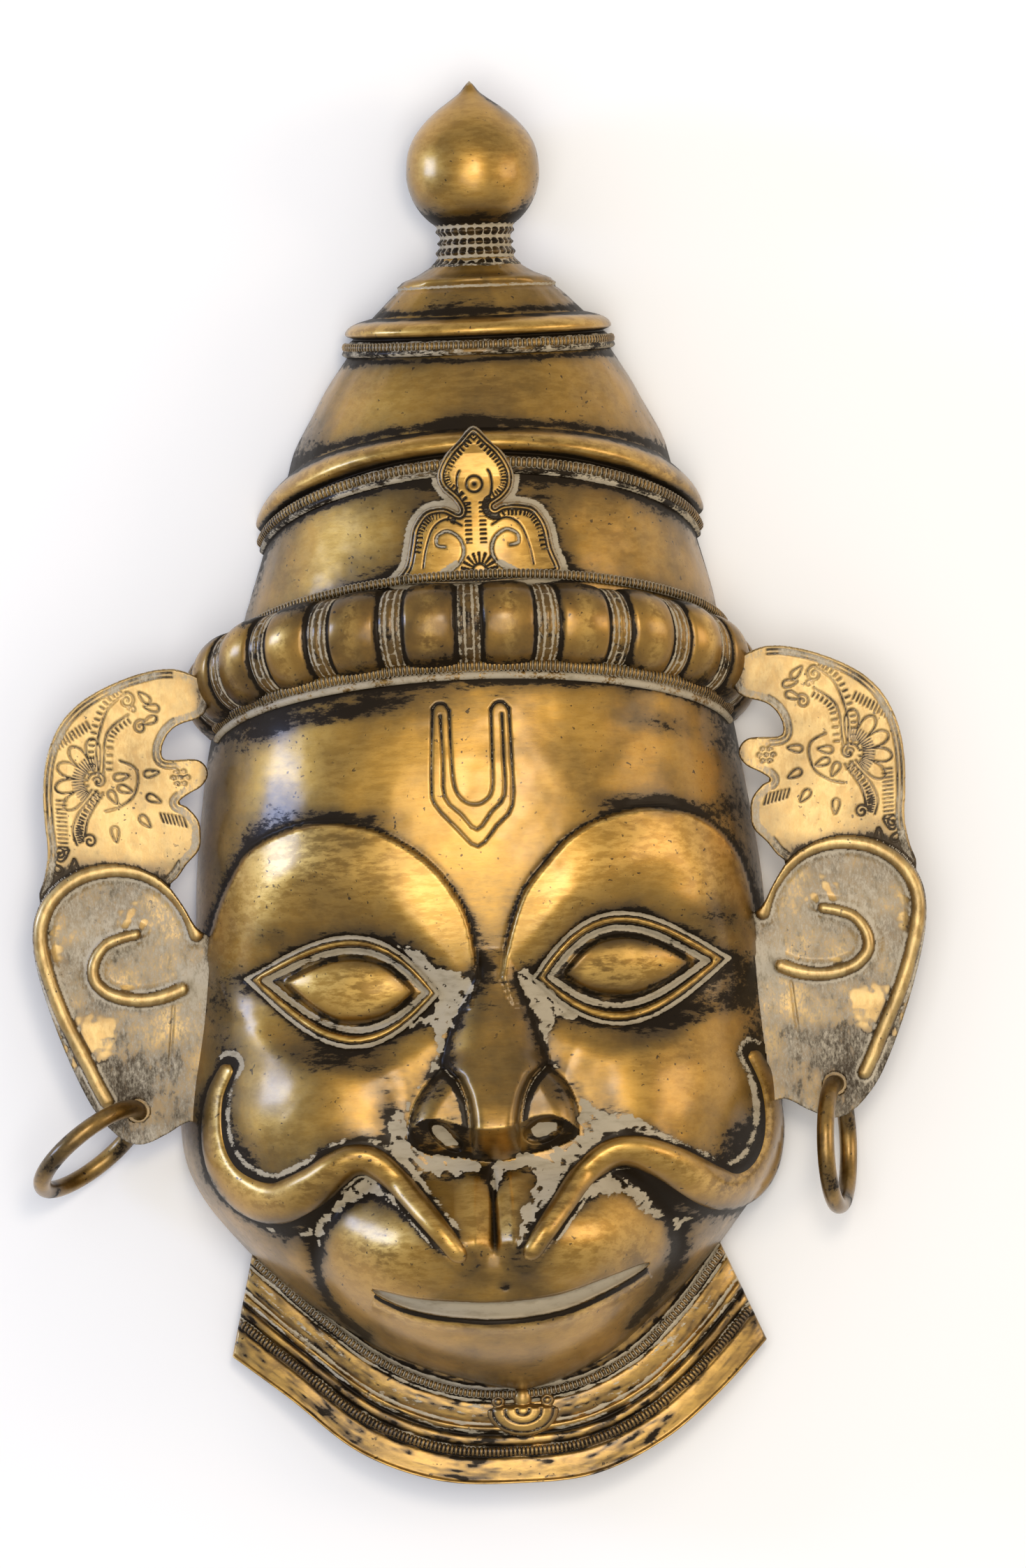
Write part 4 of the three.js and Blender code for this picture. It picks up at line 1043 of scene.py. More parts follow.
def headbandShape(p, q):
    over = bandForm["overhang"]
    angle = np.pi + over - (np.pi + 2 * over) * p
    phase = (np.pi / 2 - angle) / bandForm["ribPitch"]
    phase = np.abs(phase - np.round(phase))
    rib = 1 - smoothStep(0.12, 0.145, phase)
    lobe = smoothStep(0.145, 0.215, phase)
    around = math.radians(-125) + math.radians(255) * q
    struck = np.abs(np.sin(np.pi * q * 21)) ** 0.6
    ribSize = 0.89 + 0.03 * np.where(phase < 0.034, struck, 0) - 0.03 * hump(phase - 0.05, 0.014)
    ribSize += 0.02 * hump(phase - 0.085, 0.02)
    lobeSize = 0.83 + 0.205 * np.sqrt(np.clip(1 - ((0.5 - phase) / 0.36) ** 2, 0, 1))
    size = rib * ribSize + (1 - rib) * (lobe * lobeSize + (1 - lobe) * 0.84)
    out = np.stack([np.cos(angle), np.full(len(p), 0.1), np.sin(angle)], 1)
    radiusOut, radiusUp = bandForm["radii"]
    place = bandPlace(angle) + out * (radiusOut * size * np.cos(around))[:, None]
    place[:, 1] += radiusUp * np.sqrt(size) * np.sin(around)
    place += out * hammered(110 * angle, 20 * around, 0.14)[:, None]
    place[:, 2] = np.maximum(place[:, 2], 0)
    recess = hump(phase - 0.165, 0.03)
    # Dark in the recesses between lobes, and painted shade on the upper and lower flanks of each lobe
    grimeAndShade = 0.26 + 0.85 * recess + 0.5 * smoothStep(0.45, 1.0, np.abs(np.sin(around))) * lobe
    grimeAndShade += 0.2 * softNoise(110 * angle, 25 * around, 12, 10) + 0.3 * rib
    flutes = hump(phase - 0.055, 0.02) + hump(phase - 0.12, 0.018)
    chalk = 0.95 * flutes * (0.95 + 0.3 * softNoise(110 * angle, 25 * around, 5, 3))
    chalk += 0.55 * (phase < 0.034) * (1 - struck)
    return place, {"grimeAndShade": grimeAndShade, "chalk": chalk, "wearAndHighlight": 0.8 * lobe * smoothStep(0.3, 0.5, phase)}


shellPiece("lobed_headband", 460, 54, headbandShape, "band")


def aroundBrow(low, reach, lift, spread=111.0, sweep=0.04, count=140):
    angle = np.linspace(np.pi * (1 - sweep), np.pi * sweep, count)
    x, y = bandForm["middleX"] + spread * np.cos(angle), low + reach * np.sin(angle)
    return np.stack([x, y, faceZ(x, y) + lift], 1)


beadRow("lobe_band_lower_beads", aroundBrow(323.5, 26.5, 3.2, 110.5), 1.9, 3.0)


def paleRidge(at, around):
    # A plain half-round ridge, pale all along
    crest = np.sin(around)
    return 1.7, 1.7, {"grimeAndShade": 0.5, "chalk": 0.62 + 0.14 * softNoise(at, crest, 5, 5), "wearAndHighlight": 0.5 * crest}


rowPiece("headband_pale_ridge", aroundBrow(319.2, 26.4, 0.9, 110.5), 2.0, 160, 10, paleRidge, "band")
print("headband done")

# The finial: one turned profile, with bead rings round its neck

finialForm = {"x": 0.5, "z": 28.6, "grooves": (524.8, 529.2, 533.1, 537.6), "outline": [(18.6, 519.5),
                                                                                        (19.2, 521.2),
                                                                                        (17.2, 523.4),
                                                                                        (16.3, 525),
                                                                                        (17.2, 526.6),
                                                                                        (16.0, 528.2),
                                                                                        (15.2, 529.4),
                                                                                        (16.4, 530.8),
                                                                                        (15.2, 532.2),
                                                                                        (15.4, 534),
                                                                                        (16.9, 535.6),
                                                                                        (16.2, 537.4),
                                                                                        (17.6, 539),
                                                                                        (20, 541),
                                                                                        (23.4, 545),
                                                                                        (26.2, 550),
                                                                                        (28.0, 556),
                                                                                        (28.4, 562),
                                                                                        (27.4, 570),
                                                                                        (24.6, 576.5),
                                                                                        (20, 582.4),
                                                                                        (14.4, 587.6),
                                                                                        (8.6, 591.8),
                                                                                        (4.4, 595),
                                                                                        (1.6, 598.4),
                                                                                        (0, 600)]}


def finialPiece():
    outline = smoothPath(finialForm["outline"], 5)
    bm = bmesh.new()
    verts = [bm.verts.new((max(radius, 0), y, 0)) for radius, y in outline]
    edges = [bm.edges.new(pair) for pair in zip(verts[:-1], verts[1:])]
    bmesh.ops.spin(bm, geom=verts + edges, cent=(0, 0, 0), axis=(0, 1, 0), angle=math.tau, steps=112,
                   use_merge=True)
    bmesh.ops.remove_doubles(bm, verts=bm.verts, dist=0.02)
    bmesh.ops.recalc_face_normals(bm, faces=bm.faces)
    mesh = meshFrom(bm, "finial")
    across, y, up = placesOf(mesh).T
    angle, radius = np.arctan2(up, across), np.hypot(across, up)
    neck = (y > 522) & (y < 539)
    struck = np.abs(np.sin(angle * 14)) ** 0.5
    radius = radius * (1 - 0.03 * neck * (1 - struck)) + hammered(28 * angle, y, 0.1) * (radius > 3)
    z = np.maximum(finialForm["z"] + radius * np.sin(angle), 0)
    places = np.stack([finialForm["x"] + radius * np.cos(angle), y, z], 1)
    # Painted shade under the ball, at its tip and round its sides, with random tarnish
    grimeAndShade = 0.1 + 0.75 * fading(y - 541, 6) + 0.4 * smoothStep(578, 598, y)
    grimeAndShade += 0.25 * softNoise(28 * angle, y, 14, 11) + 0.5 * (1 - np.maximum(np.sin(angle), 0)) ** 2
    groove = sum(hump(y - at, 0.7) for at in finialForm["grooves"])
    chalk = np.where(neck, 0.95 * groove + 0.7 * (1 - struck) + 0.1 * softNoise(30 * angle, y, 5, 12), 0)
    chalk += 0.75 * smoothStep(596, 600, y) + 0.5 * (y < 522)
    setShape(mesh, places, {"grimeAndShade": np.where(neck, 0.75, grimeAndShade), "chalk": chalk, "wearAndHighlight": 0.4})
    return finished("finial", mesh, "shell", "mask_shell")


finialPiece()

# The ornament on the crown's front, raised and chased

def onOrnament(p, q):
    (left, low), (wide, high) = ornamentForm["corner"], ornamentForm["size"]
    return left + wide * p, low + high * q


def ornamentShape(p, q):
    x, y = onOrnament(p, q)
    (eyeX, eyeY), (sunX, sunY) = ornamentForm["eye"], ornamentForm["sun"]
    inside = signedDistance(ornamentForm["edge"], x, y)
    angle = np.arccos(np.clip((x - crownMiddle(y)) / crownHalf(y), -1, 1))
    _, _, base = crownPlace(angle, y)
    lift = np.interp(y, (386, 430, 440, 444, 452), (2.6, 4.6, 6.6, 8.6, 8.6))
    z = base - 1.5 + (lift + 1.5) * smoothStep(-0.4, 0.9, inside)
    lines = np.zeros_like(x)
    for depth in (1.4, 3.0):
        lines = np.maximum(lines, hump(inside - depth, 0.4))
    along = nearestOn(ornamentForm["edge"], x, y, True)[3]
    ticks = (inside > 3.4) & (inside < 5.6) & (np.abs(np.sin(np.pi * along / 2.0)) > 0.8) & (y > 398)
    lines = np.maximum(lines, 0.9 * ticks)
    rows = (np.abs(np.abs(x - eyeX) - 3.2) < 1.3) & (np.abs(np.sin(np.pi * y / 1.9)) > 0.85)
    rows &= (y > 402) & (y < 420)
    lines = np.maximum(lines, 0.8 * rows)
    pale = np.zeros_like(x)
    for way in (1, -1):
        # Each side lobe carries a thick curl that rises from the foot and winds in
        path, low, rib = [ornamentForm[key] for key in ("curl", "crescent", "rib")]
        if way < 0:
            path, low, rib = [line * [-1, 1] + [ornamentForm["mirror"], 0] for line in (path, low, rib)]
        lines = np.maximum(lines, hump(distanceTo(path, x, y), 0.7))
        lines = np.maximum(lines, 0.8 * hump(distanceTo(rib, x, y), 0.4))
        pale = np.maximum(pale, hump(distanceTo(low, x, y), 1.6))
        pale = np.maximum(pale, 0.8 * hump(distanceTo(path, x, y), 0.8))
    reach = np.hypot(x - eyeX, y - eyeY)
    lines = np.maximum(lines, hump(reach - 3.4, 0.4))
    lines = np.maximum(lines, hump(reach, 1.0))
    for swing in (-1, 1):
        path = [(eyeX + swing * (5.5 + 2.0 * math.cos(a)), eyeY + 6 * math.sin(a))
                for a in np.linspace(-1.3, 1.3, 9)]
        lines = np.maximum(lines, hump(distanceTo(path, x, y), 0.4))
    sun = np.hypot(x - sunX, y - sunY)
    rays = (np.abs(np.sin(9 * np.arctan2(y - sunY, x - sunX))) > 0.8) & (sun > 3.4) & (sun < 8)
    lines = np.maximum(lines, np.maximum(hump(sun - 3, 0.4), 0.8 * rays))
    z = z - 0.55 * lines * (inside > 0.8)
    edge = np.maximum(hump(inside - 0.5, 0.5), 0.7 * hump(inside - 2.2, 0.4))
    chalk = np.maximum(np.maximum(0.4 * lines, 0.75 * edge), 0.9 * pale)
    grimeAndShade = 0.25 + 1.0 * lines + 0.2 * softNoise(x, y, 9, 3)
    return np.stack([x, y, z], 1), {"grimeAndShade": grimeAndShade, "chalk": chalk, "wearAndHighlight": 0.5}


shellPiece("crown_ornament", 225, 205, ornamentShape,
           keep=lambda p, q: signedDistance(ornamentForm["edge"], *onOrnament(p, q)) > -1.0)
print("finial and ornament done")

# The collar: a ridged sheet from under the jaw to its free edge

collarForm = {
    "inner": smoothPath([(-109, 114), (-80, 86), (-53, 66), (-26, 54), (0, 51), (24, 55), (46, 66),
                         (67, 87), (84, 110)], 8),
    "outer": smoothPath([(-122, 58.3), (-98, 39.5), (-69, 15.5), (-36, 2.4), (-2, 0), (31, 2.6),
                         (61, 15.8), (86, 35.5), (107, 57)], 8),
    "sheet": 2.4,
    "profile": curveThrough([(0, 0), (0.16, 0), (0.2, -0.6), (0.225, 1.0), (0.275, 1.0), (0.3, -0.5),
                             (0.33, 0.9), (0.4, 1.4), (0.47, 1.0), (0.5, 0.3), (0.525, 2.6), (0.56, 2.2),
                             (0.585, -0.8), (0.62, 0.6), (0.67, 0.6), (0.692, -0.5), (0.71, 1.4),
                             (0.75, 1.4), (0.77, -0.3), (0.8, 0.5), (0.88, 1.3), (0.95, 1.4),
                             (0.975, 1.6), (0.988, 2.6), (1, 2.4)]),
    # Grooves across the sheet: where dirt lies, and where pale polish lies and how strong
    "dirt": (0.585, 0.692, 0.77, 0.3, 0.2),
    "pale": ((0.5, 0.8), (0.205, 0.8), (0.31, 0.75), (0.7, 0.55), (0.76, 0.5), (0.565, 0.5)),
}


def collarPlace(along, across):
    inner, outer = collarForm["inner"], collarForm["outer"]
    at = along * (len(inner) - 1)
    index = np.arange(len(inner))
    start = np.stack([np.interp(at, index, inner[:, k]) for k in (0, 1)], 1)
    end = np.stack([np.interp(at, index, outer[:, k]) for k in (0, 1)], 1)
    place = start + (end - start) * across[:, None]
    level = 34 - 20 * (2 * along - 1) ** 2 - 5 * across
    return place[:, 0], place[:, 1], level


def collarShape(p, q):
    # The front sheet, round its free edge and back under it
    front = np.clip(q / 0.86, 0, 1)
    back = np.clip((q - 0.88) / 0.12, 0, 1)
    across = np.where(q < 0.87, front, 1 - back)
    x, y, level = collarPlace(p, across)
    rise = collarForm["profile"](across)
    z = level + rise + 0.5 * hammered(x, y, 0.5)
    z = np.where(q > 0.87, level + np.where(across > 0.95, 2.4, 0) - collarForm["sheet"], z)
    # The ends of the sheet are closed
    z = np.where((p < 0.0005) | (p > 0.9995), level - 0.5 * collarForm["sheet"], z)
    streaks = softNoise(36 * p + 4 * across, 40 * across, 1, 8) + 0.6 * softNoise(90 * p, 60 * across, 1, 5)
    grimeAndShade = 0.46 + 0.42 * streaks - 0.1 * rise + 0.16 * softNoise(260 * p, 60 * across, 26, 2)
    grimeAndShade += 0.5 * hump(across, 0.12)
    for place in collarForm["dirt"]:
        grimeAndShade += 0.5 * hump(across - place, 0.018)
    chalk = 0.2 * hump(across - 0.4, 0.09)
    for place, strength in collarForm["pale"]:
        chalk = np.maximum(chalk, strength * hump(across - place, 0.014))
    chalk += (0.1 + 0.34 * softNoise(50 * p, 50 * across, 1, 9)) * (across < 0.72)
    wearAndHighlight = 0.35 + 0.3 * rise / 3 + 0.5 * smoothStep(0.96, 1.0, across)
    return np.stack([x, y, z], 1), {"grimeAndShade": grimeAndShade, "chalk": chalk, "wearAndHighlight": wearAndHighlight}


shellPiece("neck_collar", 300, 110, collarShape, "collar", flip=True)


def alongCollar(across, lift, first=0.012, last=0.988, count=140):
    along = np.linspace(first, last, count)
    x, y, level = collarPlace(along, np.full(count, across))
    return np.stack([x, y, level + collarForm["profile"](across) + lift], 1)


beadRow("collar_inner_beads", alongCollar(0.25, 0.2), 1.9, 1.9, "collar")
beadRow("collar_outer_beads", alongCollar(0.73, 0.2), 1.8, 2.1, "collar", pale=0.35)


budForm = {"middleX": 1.5, "hull": (31, 15.5, 11), "stem": (36.5, 4.2, 5.5), "curls": (10.5, 35.2, 3.2)}


def budShape(p, q):
    # A small boat-shaped bud with a curl at each end of its upper edge
    x, y = -17 + 37 * p, 17 + 27 * q
    side = x - budForm["middleX"]
    hullY, hullHalf, hullHigh = budForm["hull"]
    stemY, stemHalf, stemHigh = budForm["stem"]
    curlX, curlY, curlRadius = budForm["curls"]
    across, up = side / hullHalf, (y - hullY) / hullHigh
    curl = np.hypot(np.abs(side) - curlX, y - curlY)
    hull = np.sqrt(np.clip(1 - across ** 2 - np.where(up < 0, up ** 2, (up * 3.4) ** 2), 0, 1))
    stem = np.sqrt(np.clip(1 - (side / stemHalf) ** 2 - ((y - stemY) / stemHigh) ** 2, 0, 1))
    knob = np.maximum(np.maximum(5.5 * hull, 4.2 * stem), 3.6 * ridge(curl, curlRadius))
    ribs = np.abs(np.sin(3.0 * np.pi * np.hypot(across, np.minimum(up, 0)))) ** 8
    ribs = ribs * (hull > 0.1) * (up < 0.1)
    lines = np.maximum(ribs, hump(curl - 1.5, 0.4))
    _, _, level = collarPlace(np.full(len(x), 0.5), np.full(len(x), 0.45))
    z = level + 0.6 + np.where(knob > 0.1, knob, -3.5) - 0.6 * lines
    edge = fading(knob, 1.3)
    marks = {"grimeAndShade": 0.25 + 0.55 * lines + 0.5 * edge, "chalk": 0.75 * edge + 0.35 * lines}
    return np.stack([x, y, z], 1), {**marks, "wearAndHighlight": 0.6 * (knob > 3.5)}


shellPiece("collar_bud", 90, 76, budShape, "collar")
print("collar done")

# The sheet ears, in their own flat frame: e runs out from the head's middle line, y up. Gold patches
# are given as place and half size

earForm = {
    "gold": [(183, 238, 5, 13), (168, 200, 15, 8), (172, 190, 10, 5), (147, 246, 7, 9), (152, 216, 6, 4)],
    "middle": -9.0, "tilt": 0.05, "level": 31.0, "sheet": 2.4, "panelTop": 0.6, "rimHalf": 3.4,
    "spiralHalf": 2.6, "hole": (149.0, 165.5), "holeRadius": 5.0, "flower": (160.5, 307),
    "panel": [(112, 346), (122, 352.5), (131, 353.8), (141, 352.2), (151, 349), (160, 345), (168, 340),
              (175, 333), (180, 324), (183, 314), (184.2, 303), (184, 290), (183.2, 278), (185, 267),
              (187.5, 258), (182, 252), (150, 252), (131, 262), (124, 270), (118.5, 276), (117.5, 283),
              (118.5, 289), (123, 294.5), (126.5, 296.5), (122, 300), (116.5, 303), (113.5, 307.5),
              (114.5, 312), (119, 314.8), (131, 315), (132.8, 319), (130.5, 325), (125.5, 329.5),
              (114, 334)],
    "lower": [(112, 160), (127, 160), (136, 155.5), (144, 151.8), (150, 151), (156, 153.5), (162, 159),
              (168, 167), (173, 177), (178, 189), (183, 203), (187.5, 218), (190.5, 232), (191, 243),
              (189, 252), (184, 260.5), (176, 267), (166, 270.7), (154, 271.3), (143, 268.5), (133, 262),
              (126, 252), (121, 243), (113, 235), (111, 215)],
    "rim": [(121, 240), (124.5, 250), (131.5, 259.5), (141, 266), (152, 268.8), (164, 268),
            (174.5, 263.8), (182.5, 256.5), (187, 247), (187.5, 237), (185, 225), (181, 212),
            (176, 199.5), (170.5, 188), (166, 178), (162, 170)],
    "spiral": [(147, 241), (154, 239.5), (160.5, 236.5), (165, 230), (165.5, 223), (161.5, 217.5),
               (155.5, 214.5), (148.5, 213), (141.5, 213), (134.5, 214.5), (128, 217)],
}
# Millimetres that an ear's grid covers, and the two outlines and two bars
earGrid = {"e": (110, 83), "y": (148, 208)}
earPanel = smoothPath(earForm["panel"], 4, closed=True)
earLower = smoothPath(earForm["lower"], 4, closed=True)
earRim, earSpiral = smoothPath(earForm["rim"], 8), smoothPath(earForm["spiral"], 8)


def spiralPath(x, y, radius, turns, start, way=1):
    # A small chased curl that winds in to its middle
    angles = np.linspace(0, math.tau * turns, 22)
    sizes = radius * (1 - angles / (math.tau * turns) * 0.85)
    return np.stack([x + sizes * np.cos(start + way * angles), y + sizes * np.sin(start + way * angles)], 1)


def teardrop(x, y, length, turn):
    angles = np.linspace(0, math.tau, 20)
    along = length * 0.5 * np.cos(angles)
    side = length * 0.26 * np.sin(angles) * (1 - 0.55 * np.cos(angles)) / 1.2
    return np.stack([x + along * math.cos(turn) - side * math.sin(turn),
                     y + along * math.sin(turn) + side * math.cos(turn)], 1)


def earEngraving():
    # The chased flower, sprays, leaves and dots of an ear's upper panel
    heart = np.array(earForm["flower"])
    lines = [spiralPath(*heart, radius, 1.02, 0.3) for radius in (4.4, 2.0)]
    # Five round petals that fan outwards, with hatching near the heart
    fanAngles = np.radians(np.linspace(-52, 98, 91))
    lobes = 9.5 + 9.0 * np.abs(np.sin(np.linspace(0, 5 * np.pi, 91))) ** 0.5
    lines.append(heart + np.stack([lobes * np.cos(fanAngles), lobes * np.sin(fanAngles)], 1))
    for first, last, step, reaches in ((-52, 99, 30, (4.6, 9.5)), (-45, 92, 7.5, (6.2, 10.8))):
        for turn in np.radians(np.arange(first, last, step)):
            way = np.array([math.cos(turn), math.sin(turn)])
            lines.append([heart + reach * way for reach in reaches])
    stem = smoothPath([(160, 309), (160.5, 322), (155.5, 337), (147.5, 344)], 6)
    leaf = smoothPath([(158, 310), (156, 327), (146.5, 335)], 6)
    low = smoothPath([(161, 303), (169, 294), (172, 286.5), (170.5, 280)], 6)
    lowLeaf = smoothPath([(158.5, 302), (165, 292), (167, 284)], 6)
    lines += [stem, leaf, low, lowLeaf]
    for curl in ((147, 341, 3.6, 1.4, 1.5), (141.5, 329.5, 3.2, 1.4, 2.2, -1), (165, 281.5, 3.2, 1.4, 0.2),
                 (178, 276.5, 2.6, 1.2, 1.0)):
        lines.append(spiralPath(*curl))
    # Short hatching on the outer side of the stems
    for path, side in ((stem, 1), (leaf, -1), (low, 1), (lowLeaf, -1)):
        for i in range(1, len(path) - 1):
            dx, dy = path[i + 1] - path[i - 1]
            length = math.hypot(dx, dy)
            nx, ny = dy / length * side, -dx / length * side
            lines.append([(path[i][0] + nx * reach, path[i][1] + ny * reach) for reach in (1.2, 3.4)])
    lines.append(smoothPath([(151, 315.5), (144.5, 312), (143.5, 306), (146, 299.5), (152, 295.5),
                             (158, 294)], 5))
    for x, y, turn in (
            (150.5, 308.5, 3.0), (149, 303, 3.5), (154.3, 299.8, 4.2), (137.5, 309.5, 3.0),
            (137, 298.5, 3.6), (141, 289, 4.0), (154, 284, 4.6), (139.5, 342, 0.8), (136.5, 337.5, 0.2),
            (137.5, 332, -0.4), (176.5, 276, 2.4), (172, 271, 1.6), (180, 270.5, 0.6)):
        lines.append(teardrop(x, y, 6.6, turn))
    # Dots: one by the curl and a rosette of seven at the panel's head side
    lines += [spiralPath(144.5, 337, 1.7, 1.02, 0), spiralPath(125, 307, 1.2, 1.02, 0)]
    for turn in np.arange(6) * math.pi / 3:
        lines.append(spiralPath(125 + 2.9 * math.cos(turn), 307 + 2.9 * math.sin(turn), 1.2, 1.02, 0))
    # Rows of struck ticks: how many, and for a tick's two ends their place and the step to the next
    for count, *ends in ((11, (163, 329.5, 1.5, -0.9), (164.6, 332.6, 1.5, -0.9)),
                         (12, (174.6, 299, 0, -1.8), (178.6, 299.4, 0, -1.8)),
                         (7, (123.5, 286, 1.6, 0.4), (124.8, 290.5, 1.6, 0.3))):
        for k in range(count):
            lines.append([(x + stepX * k, y + stepY * k) for x, y, stepX, stepY in ends])
    return [np.asarray(line, float) for line in lines]


earLines = earEngraving()


def onEarGrid(p, q):
    return earGrid["e"][0] + earGrid["e"][1] * p, earGrid["y"][0] + earGrid["y"][1] * q


def fromHole(e, y):
    return np.hypot(e - earForm["hole"][0], y - earForm["hole"][1])


def onTiltedEar(side, e, y, out):
    # From the ear's flat frame to the bench, turned back a little about its hole
    cosine, sine = math.cos(earForm["tilt"]), math.sin(earForm["tilt"])
    up = y - earForm["hole"][1]
    return np.stack([earForm["middle"] + side * e, earForm["hole"][1] + up * cosine - out * sine,
                     earForm["level"] + up * sine + out * cosine], 1)


def engravedDepth(e, y):
    # Nearness to the chased lines, looking only near each line
    depth = np.zeros_like(e)
    for line in earLines:
        lowX, lowY = line.min(axis=0) - 1.6
        highX, highY = line.max(axis=0) + 1.6
        near = (e > lowX) & (e < highX) & (y > lowY) & (y < highY)
        if near.any():
            depth[near] = np.maximum(depth[near], hump(distanceTo(line, e[near], y[near]), 0.38))
    return depth


def earShape(side):
    def shape(p, q):
        e, y = onEarGrid(p, q)
        panel, lower = signedDistance(earPanel, e, y), signedDistance(earLower, e, y)
        upper = panel > lower
        # What lies just outside the sheet is drawn back to its edge and turned down as the wall
        out = (panel < 0) & (lower < 0)
        _, panelX, panelY, _ = nearestOn(earPanel, e, y, True)
        _, lowerX, lowerY, _ = nearestOn(earLower, e, y, True)
        edgeX, edgeY = np.where(upper, panelX, lowerX), np.where(upper, panelY, lowerY)
        e2, y2 = np.where(out, edgeX, e), np.where(out, edgeY, y)
        isLower = lower >= 0
        lines = engravedDepth(e, y) * (lower < -1.0)
        contour = hump(panel - 1.6, 0.35) + hump(panel - 3.4, 0.35)
        contour = np.minimum(contour, 1) * (lower < -1.5) * (e > 127) * (y > 262)
        rimDistance = distanceTo(earRim, e, y)
        spiralDistance, _, _, spiralAlong = nearestOn(earSpiral, e, y)
        rimHalf, spiralHalf = earForm["rimHalf"], earForm["spiralHalf"] + 0.012 * spiralAlong
        rim, spiral = ridge(rimDistance, rimHalf), ridge(spiralDistance, spiralHalf)
        height = np.where(isLower, earForm["sheet"], earForm["panelTop"])
        height += 0.18 * softNoise(e, y, 13, 2) + 0.1 * softNoise(e, y, 4, 4)
        height = height - 0.45 * np.maximum(lines, contour)
        bowl = smoothStep(1.5, 7, np.minimum(rimDistance, spiralDistance)) * smoothStep(196, 226, y)
        height += isLower * (np.maximum(3.1 * rim, 3.2 * spiral) - 1.4 * bowl)
        slit = hump(distanceTo([(132, 210), (135, 180)], e, y), 0.5) * isLower
        height = height - 0.6 * slit
        # The hole's rim is drawn in to make its wall
        panelFoot = earForm["panelTop"] - earForm["sheet"]
        height = np.where(fromHole(e, y) < earForm["holeRadius"], panelFoot, height)
        height = np.where(out, np.where(upper, panelFoot, 0.0), height)
        places = onTiltedEar(side, e2, y2, height)
        edge = hump(np.minimum(np.abs(rimDistance - rimHalf), np.abs(spiralDistance - spiralHalf)), 1.0)
        mottled = 0.9 * softNoise(e, y, 15, 9) + 0.5 * softNoise(e + y, (y - e) / 2, 5, 10)
        relief = np.maximum(rim, spiral)
        grimeAndShade = 0.16 + 0.72 * np.maximum(lines, contour) * (lower < 0) + 0.2 * softNoise(e, y, 11, 3)
        grimeAndShade += (0.22 * softNoise(e, y, 21, 4) + 0.3 * (1 - smoothStep(266, 294, y))) * (lower < 0)
        # Gold shows through the pale film in scratched patches; the foot of the lobe is dark
        gold = sum(spot(e, y, *patch) for patch in earForm["gold"])
        worn = softNoise(e + 0.5 * y, (y - 0.5 * e) / 3, 2.4, 10) + 0.6 * softNoise(e / 4, y, 1.6, 7)
        gold = smoothStep(0.3, 0.75, gold * (0.85 + 0.9 * worn))
        dim = spot(e, y, 160, 171, 24, 14)
        grimeAndShade += isLower * ((0.4 + 0.2 * mottled - 0.3 * gold + 0.4 * dim) * (relief < 0.3) + 0.5 * edge)
        grimeAndShade += 0.5 * fading(np.abs(lower), 2.5) * (lower < 0) + 0.5 * (1 - smoothStep(112, 122, e))
        film = 0.5 + 0.08 * smoothStep(203, 224, y) + 0.16 * mottled - 0.5 * gold - 0.2 * dim
        chalk = isLower * (relief < 0.25) * film
        border = smoothStep(0.3, 1.2, panel) * (1 - smoothStep(3.4, 4.6, panel)) * (lower < -1)
        chalk += border * (0.46 + 0.25 * softNoise(e, y, 8, 6)) + 0.22 * lines * (lower < 0)
        chalk += 0.4 * edge * isLower + 0.3 * isLower * hump(y - 221, 9) * (e < 130)
        wearAndHighlight = 0.55 + 0.3 * rim + 0.3 * spiral
        return places, {"grimeAndShade": grimeAndShade, "chalk": chalk, "wearAndHighlight": wearAndHighlight}

    return shape


def earKept(p, q):
    e, y = onEarGrid(p, q)
    onSheet = np.maximum(signedDistance(earPanel, e, y), signedDistance(earLower, e, y)) > -0.75
    headSide = faceHalf(y) * (1 - (earForm["level"] / faceDepth(y)) ** 2) ** (1 / faceSize["squareness"])
    return onSheet & (fromHole(e, y) >= earForm["holeRadius"]) & (e > headSide - 2.5)


def earBack(side, name, outline, low):
    # The plain back of a sheet: its outline filled and given its true thickness
    bm = bmesh.new()
    face = bm.faces.new([bm.verts.new((e, y, 0)) for e, y in outline])
    bmesh.ops.triangulate(bm, faces=[face])
    mesh = meshFrom(bm, name)
    e, y, _ = placesOf(mesh).T
    setShape(mesh, onTiltedEar(side, e, y, low), {"grimeAndShade": 0.5, "chalk": 0.1, "wearAndHighlight": 0.3})
    return finished(name, mesh, "ear", "ear_left" if side < 0 else "ear_right", flip=side > 0)


for side, word in ((-1, "left"), (1, "right")):
    gridPiece("ear_sheet_" + word, 160, 400, earShape(side), "ear", "ear_" + word, "ear_brass",
              keep=earKept, flip=side < 0)
    earBack(side, "ear_panel_back_" + word, earPanel, earForm["panelTop"] - earForm["sheet"])
    earBack(side, "ear_lobe_back_" + word, earLower, 0.0)
print("ears done")

# Round bar rings through the lobes

# Radius to the middle of the bar, the bar's own radius, and how far each ring leans and turns
ringForm = {"radius": 26.0, "bar": 3.75, "left": (math.radians(217), 0.3),
            "right": (math.radians(-90), 0.2)}


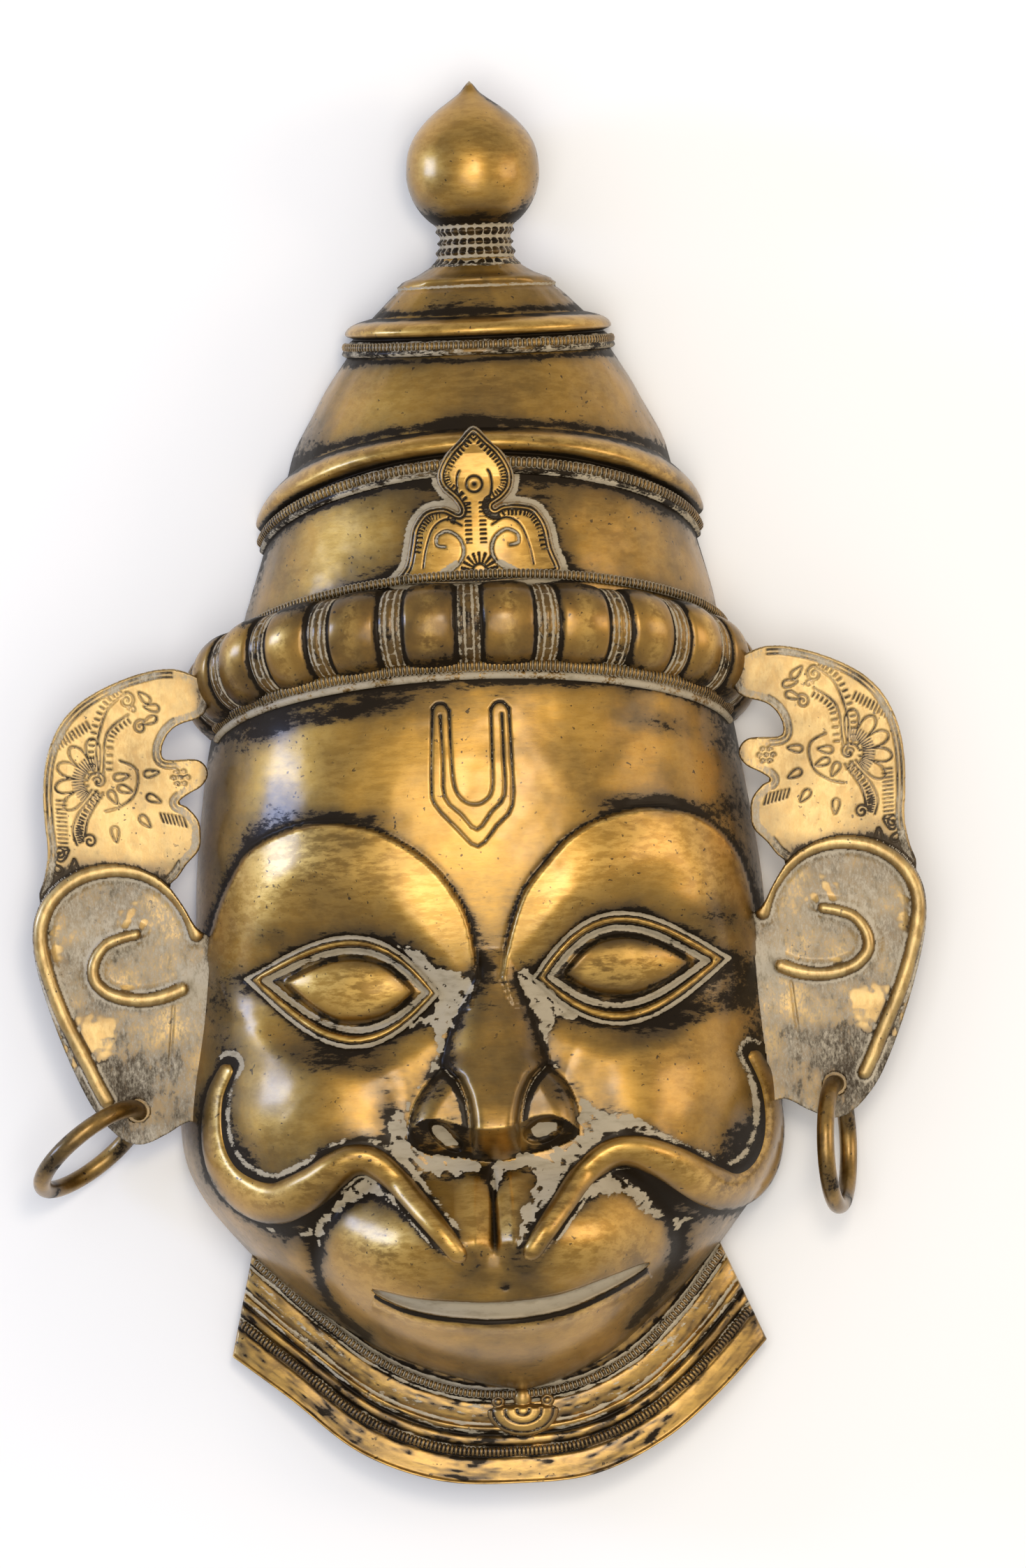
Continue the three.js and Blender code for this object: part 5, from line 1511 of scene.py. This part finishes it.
def ringPiece(side, word):
    lean, turn = ringForm[word]

    def shape(p, q):
        around, section = math.tau * p, math.tau * q
        reach = ringForm["radius"] + ringForm["bar"] * np.cos(section)
        x, z = ringForm["radius"] + reach * np.cos(around), reach * np.sin(around)
        y = ringForm["bar"] * np.sin(section)
        # Turned about the line from the hole through its middle, then leant to the way it hangs
        y, z = y * math.cos(turn) - z * math.sin(turn), y * math.sin(turn) + z * math.cos(turn)
        x, y = x * math.cos(lean) - y * math.sin(lean), x * math.sin(lean) + y * math.cos(lean)
        place = np.stack([x + earForm["middle"] + side * earForm["hole"][0], y + earForm["hole"][1],
                          z + earForm["level"] + earForm["sheet"] / 2], 1)
        patches = softNoise(160 * p, 22 * q, 8, 6)
        return place, {"grimeAndShade": 0.38 + 0.4 * patches, "wearAndHighlight": 0.5 + 0.4 * patches}

    gridPiece("ring_" + word, 120, 24, shape, "ring", "earring_" + word, "ring_brass", weld=0.02, flip=True)


for side, word in ((-1, "left"), (1, "right")):
    ringPiece(side, word)
print("rings done")

# Floor, lights and camera

studio = {
    "floor": "#F6F7F9", "cameraDistance": 10.0, "frameHeight": 0.6685, "aim": (7.6, 298.8, 60.0),
    "roll": -0.0389,
    # Name, place, size, power and colour
    "lights": [
        ("window_left", (-2.4, 0.5, 0.3), (0.55, 1.2), 42, "#A6C2FF"),
        ("lamp_right_top", (0.25, 0.5, 2.3), (0.45, 0.45), 10, "#FFEFD8"),
        ("warm_right", (2.1, 0.2, 1.0), (0.8, 1.2), 12, "#FFE9CB"),
        ("ceiling", (-0.1, -0.2, 2.6), (1.6, 1.6), 24, "#FFFBF4"),
    ],
    "world": ("#DBDADA", 0.8),
}


def makeStage():
    bm = bmesh.new()
    bmesh.ops.create_grid(bm, x_segments=1, y_segments=1, size=6.0)
    mesh = meshFrom(bm, "floor")
    floor = addObject("floor", mesh)
    # Matt pale paper, which gives a clean light ground with a soft shadow
    paper = bpy.data.materials.new("matt_pale_paper")
    paper.use_nodes = True
    shader = paper.node_tree.nodes["Principled BSDF"]
    shader.inputs["Base Color"].default_value = linear(studio["floor"])
    shader.inputs["Roughness"].default_value = 0.9
    mesh.materials.append(paper)
    for name, place, size, power, colour in studio["lights"]:
        light = bpy.data.lights.new(name, "AREA")
        light.shape = "RECTANGLE"
        light.size, light.size_y = size
        light.energy = power
        light.color = linear(colour)[:3]
        lamp = addObject(name, light)
        lamp.location = place
        lamp.rotation_euler = (-Vector(place)).to_track_quat("-Z", "Y").to_euler()
    world = bpy.data.worlds.new("dim_room")
    world.use_nodes = True
    colour, strength = studio["world"]
    world.node_tree.nodes["Background"].inputs["Color"].default_value = linear(colour)
    world.node_tree.nodes["Background"].inputs["Strength"].default_value = strength
    bpy.context.scene.world = world


def makeCamera():
    camera = bpy.data.cameras.new("photo_camera")
    camera.sensor_fit = "VERTICAL"
    camera.sensor_height = 36.0
    camera.lens = 36.0 * studio["cameraDistance"] / studio["frameHeight"]
    camera.clip_end = 20.0
    eye = addObject("photo_camera", camera)
    aim = toMetres([studio["aim"]])[0]
    eye.location = (aim[0], aim[1], aim[2] + studio["cameraDistance"])
    eye.rotation_euler = (0, 0, studio["roll"])
    bpy.context.scene.camera = eye


makeStage()
makeCamera()
bpy.context.scene.view_settings.view_transform = "Standard"
bpy.context.view_layer.update()
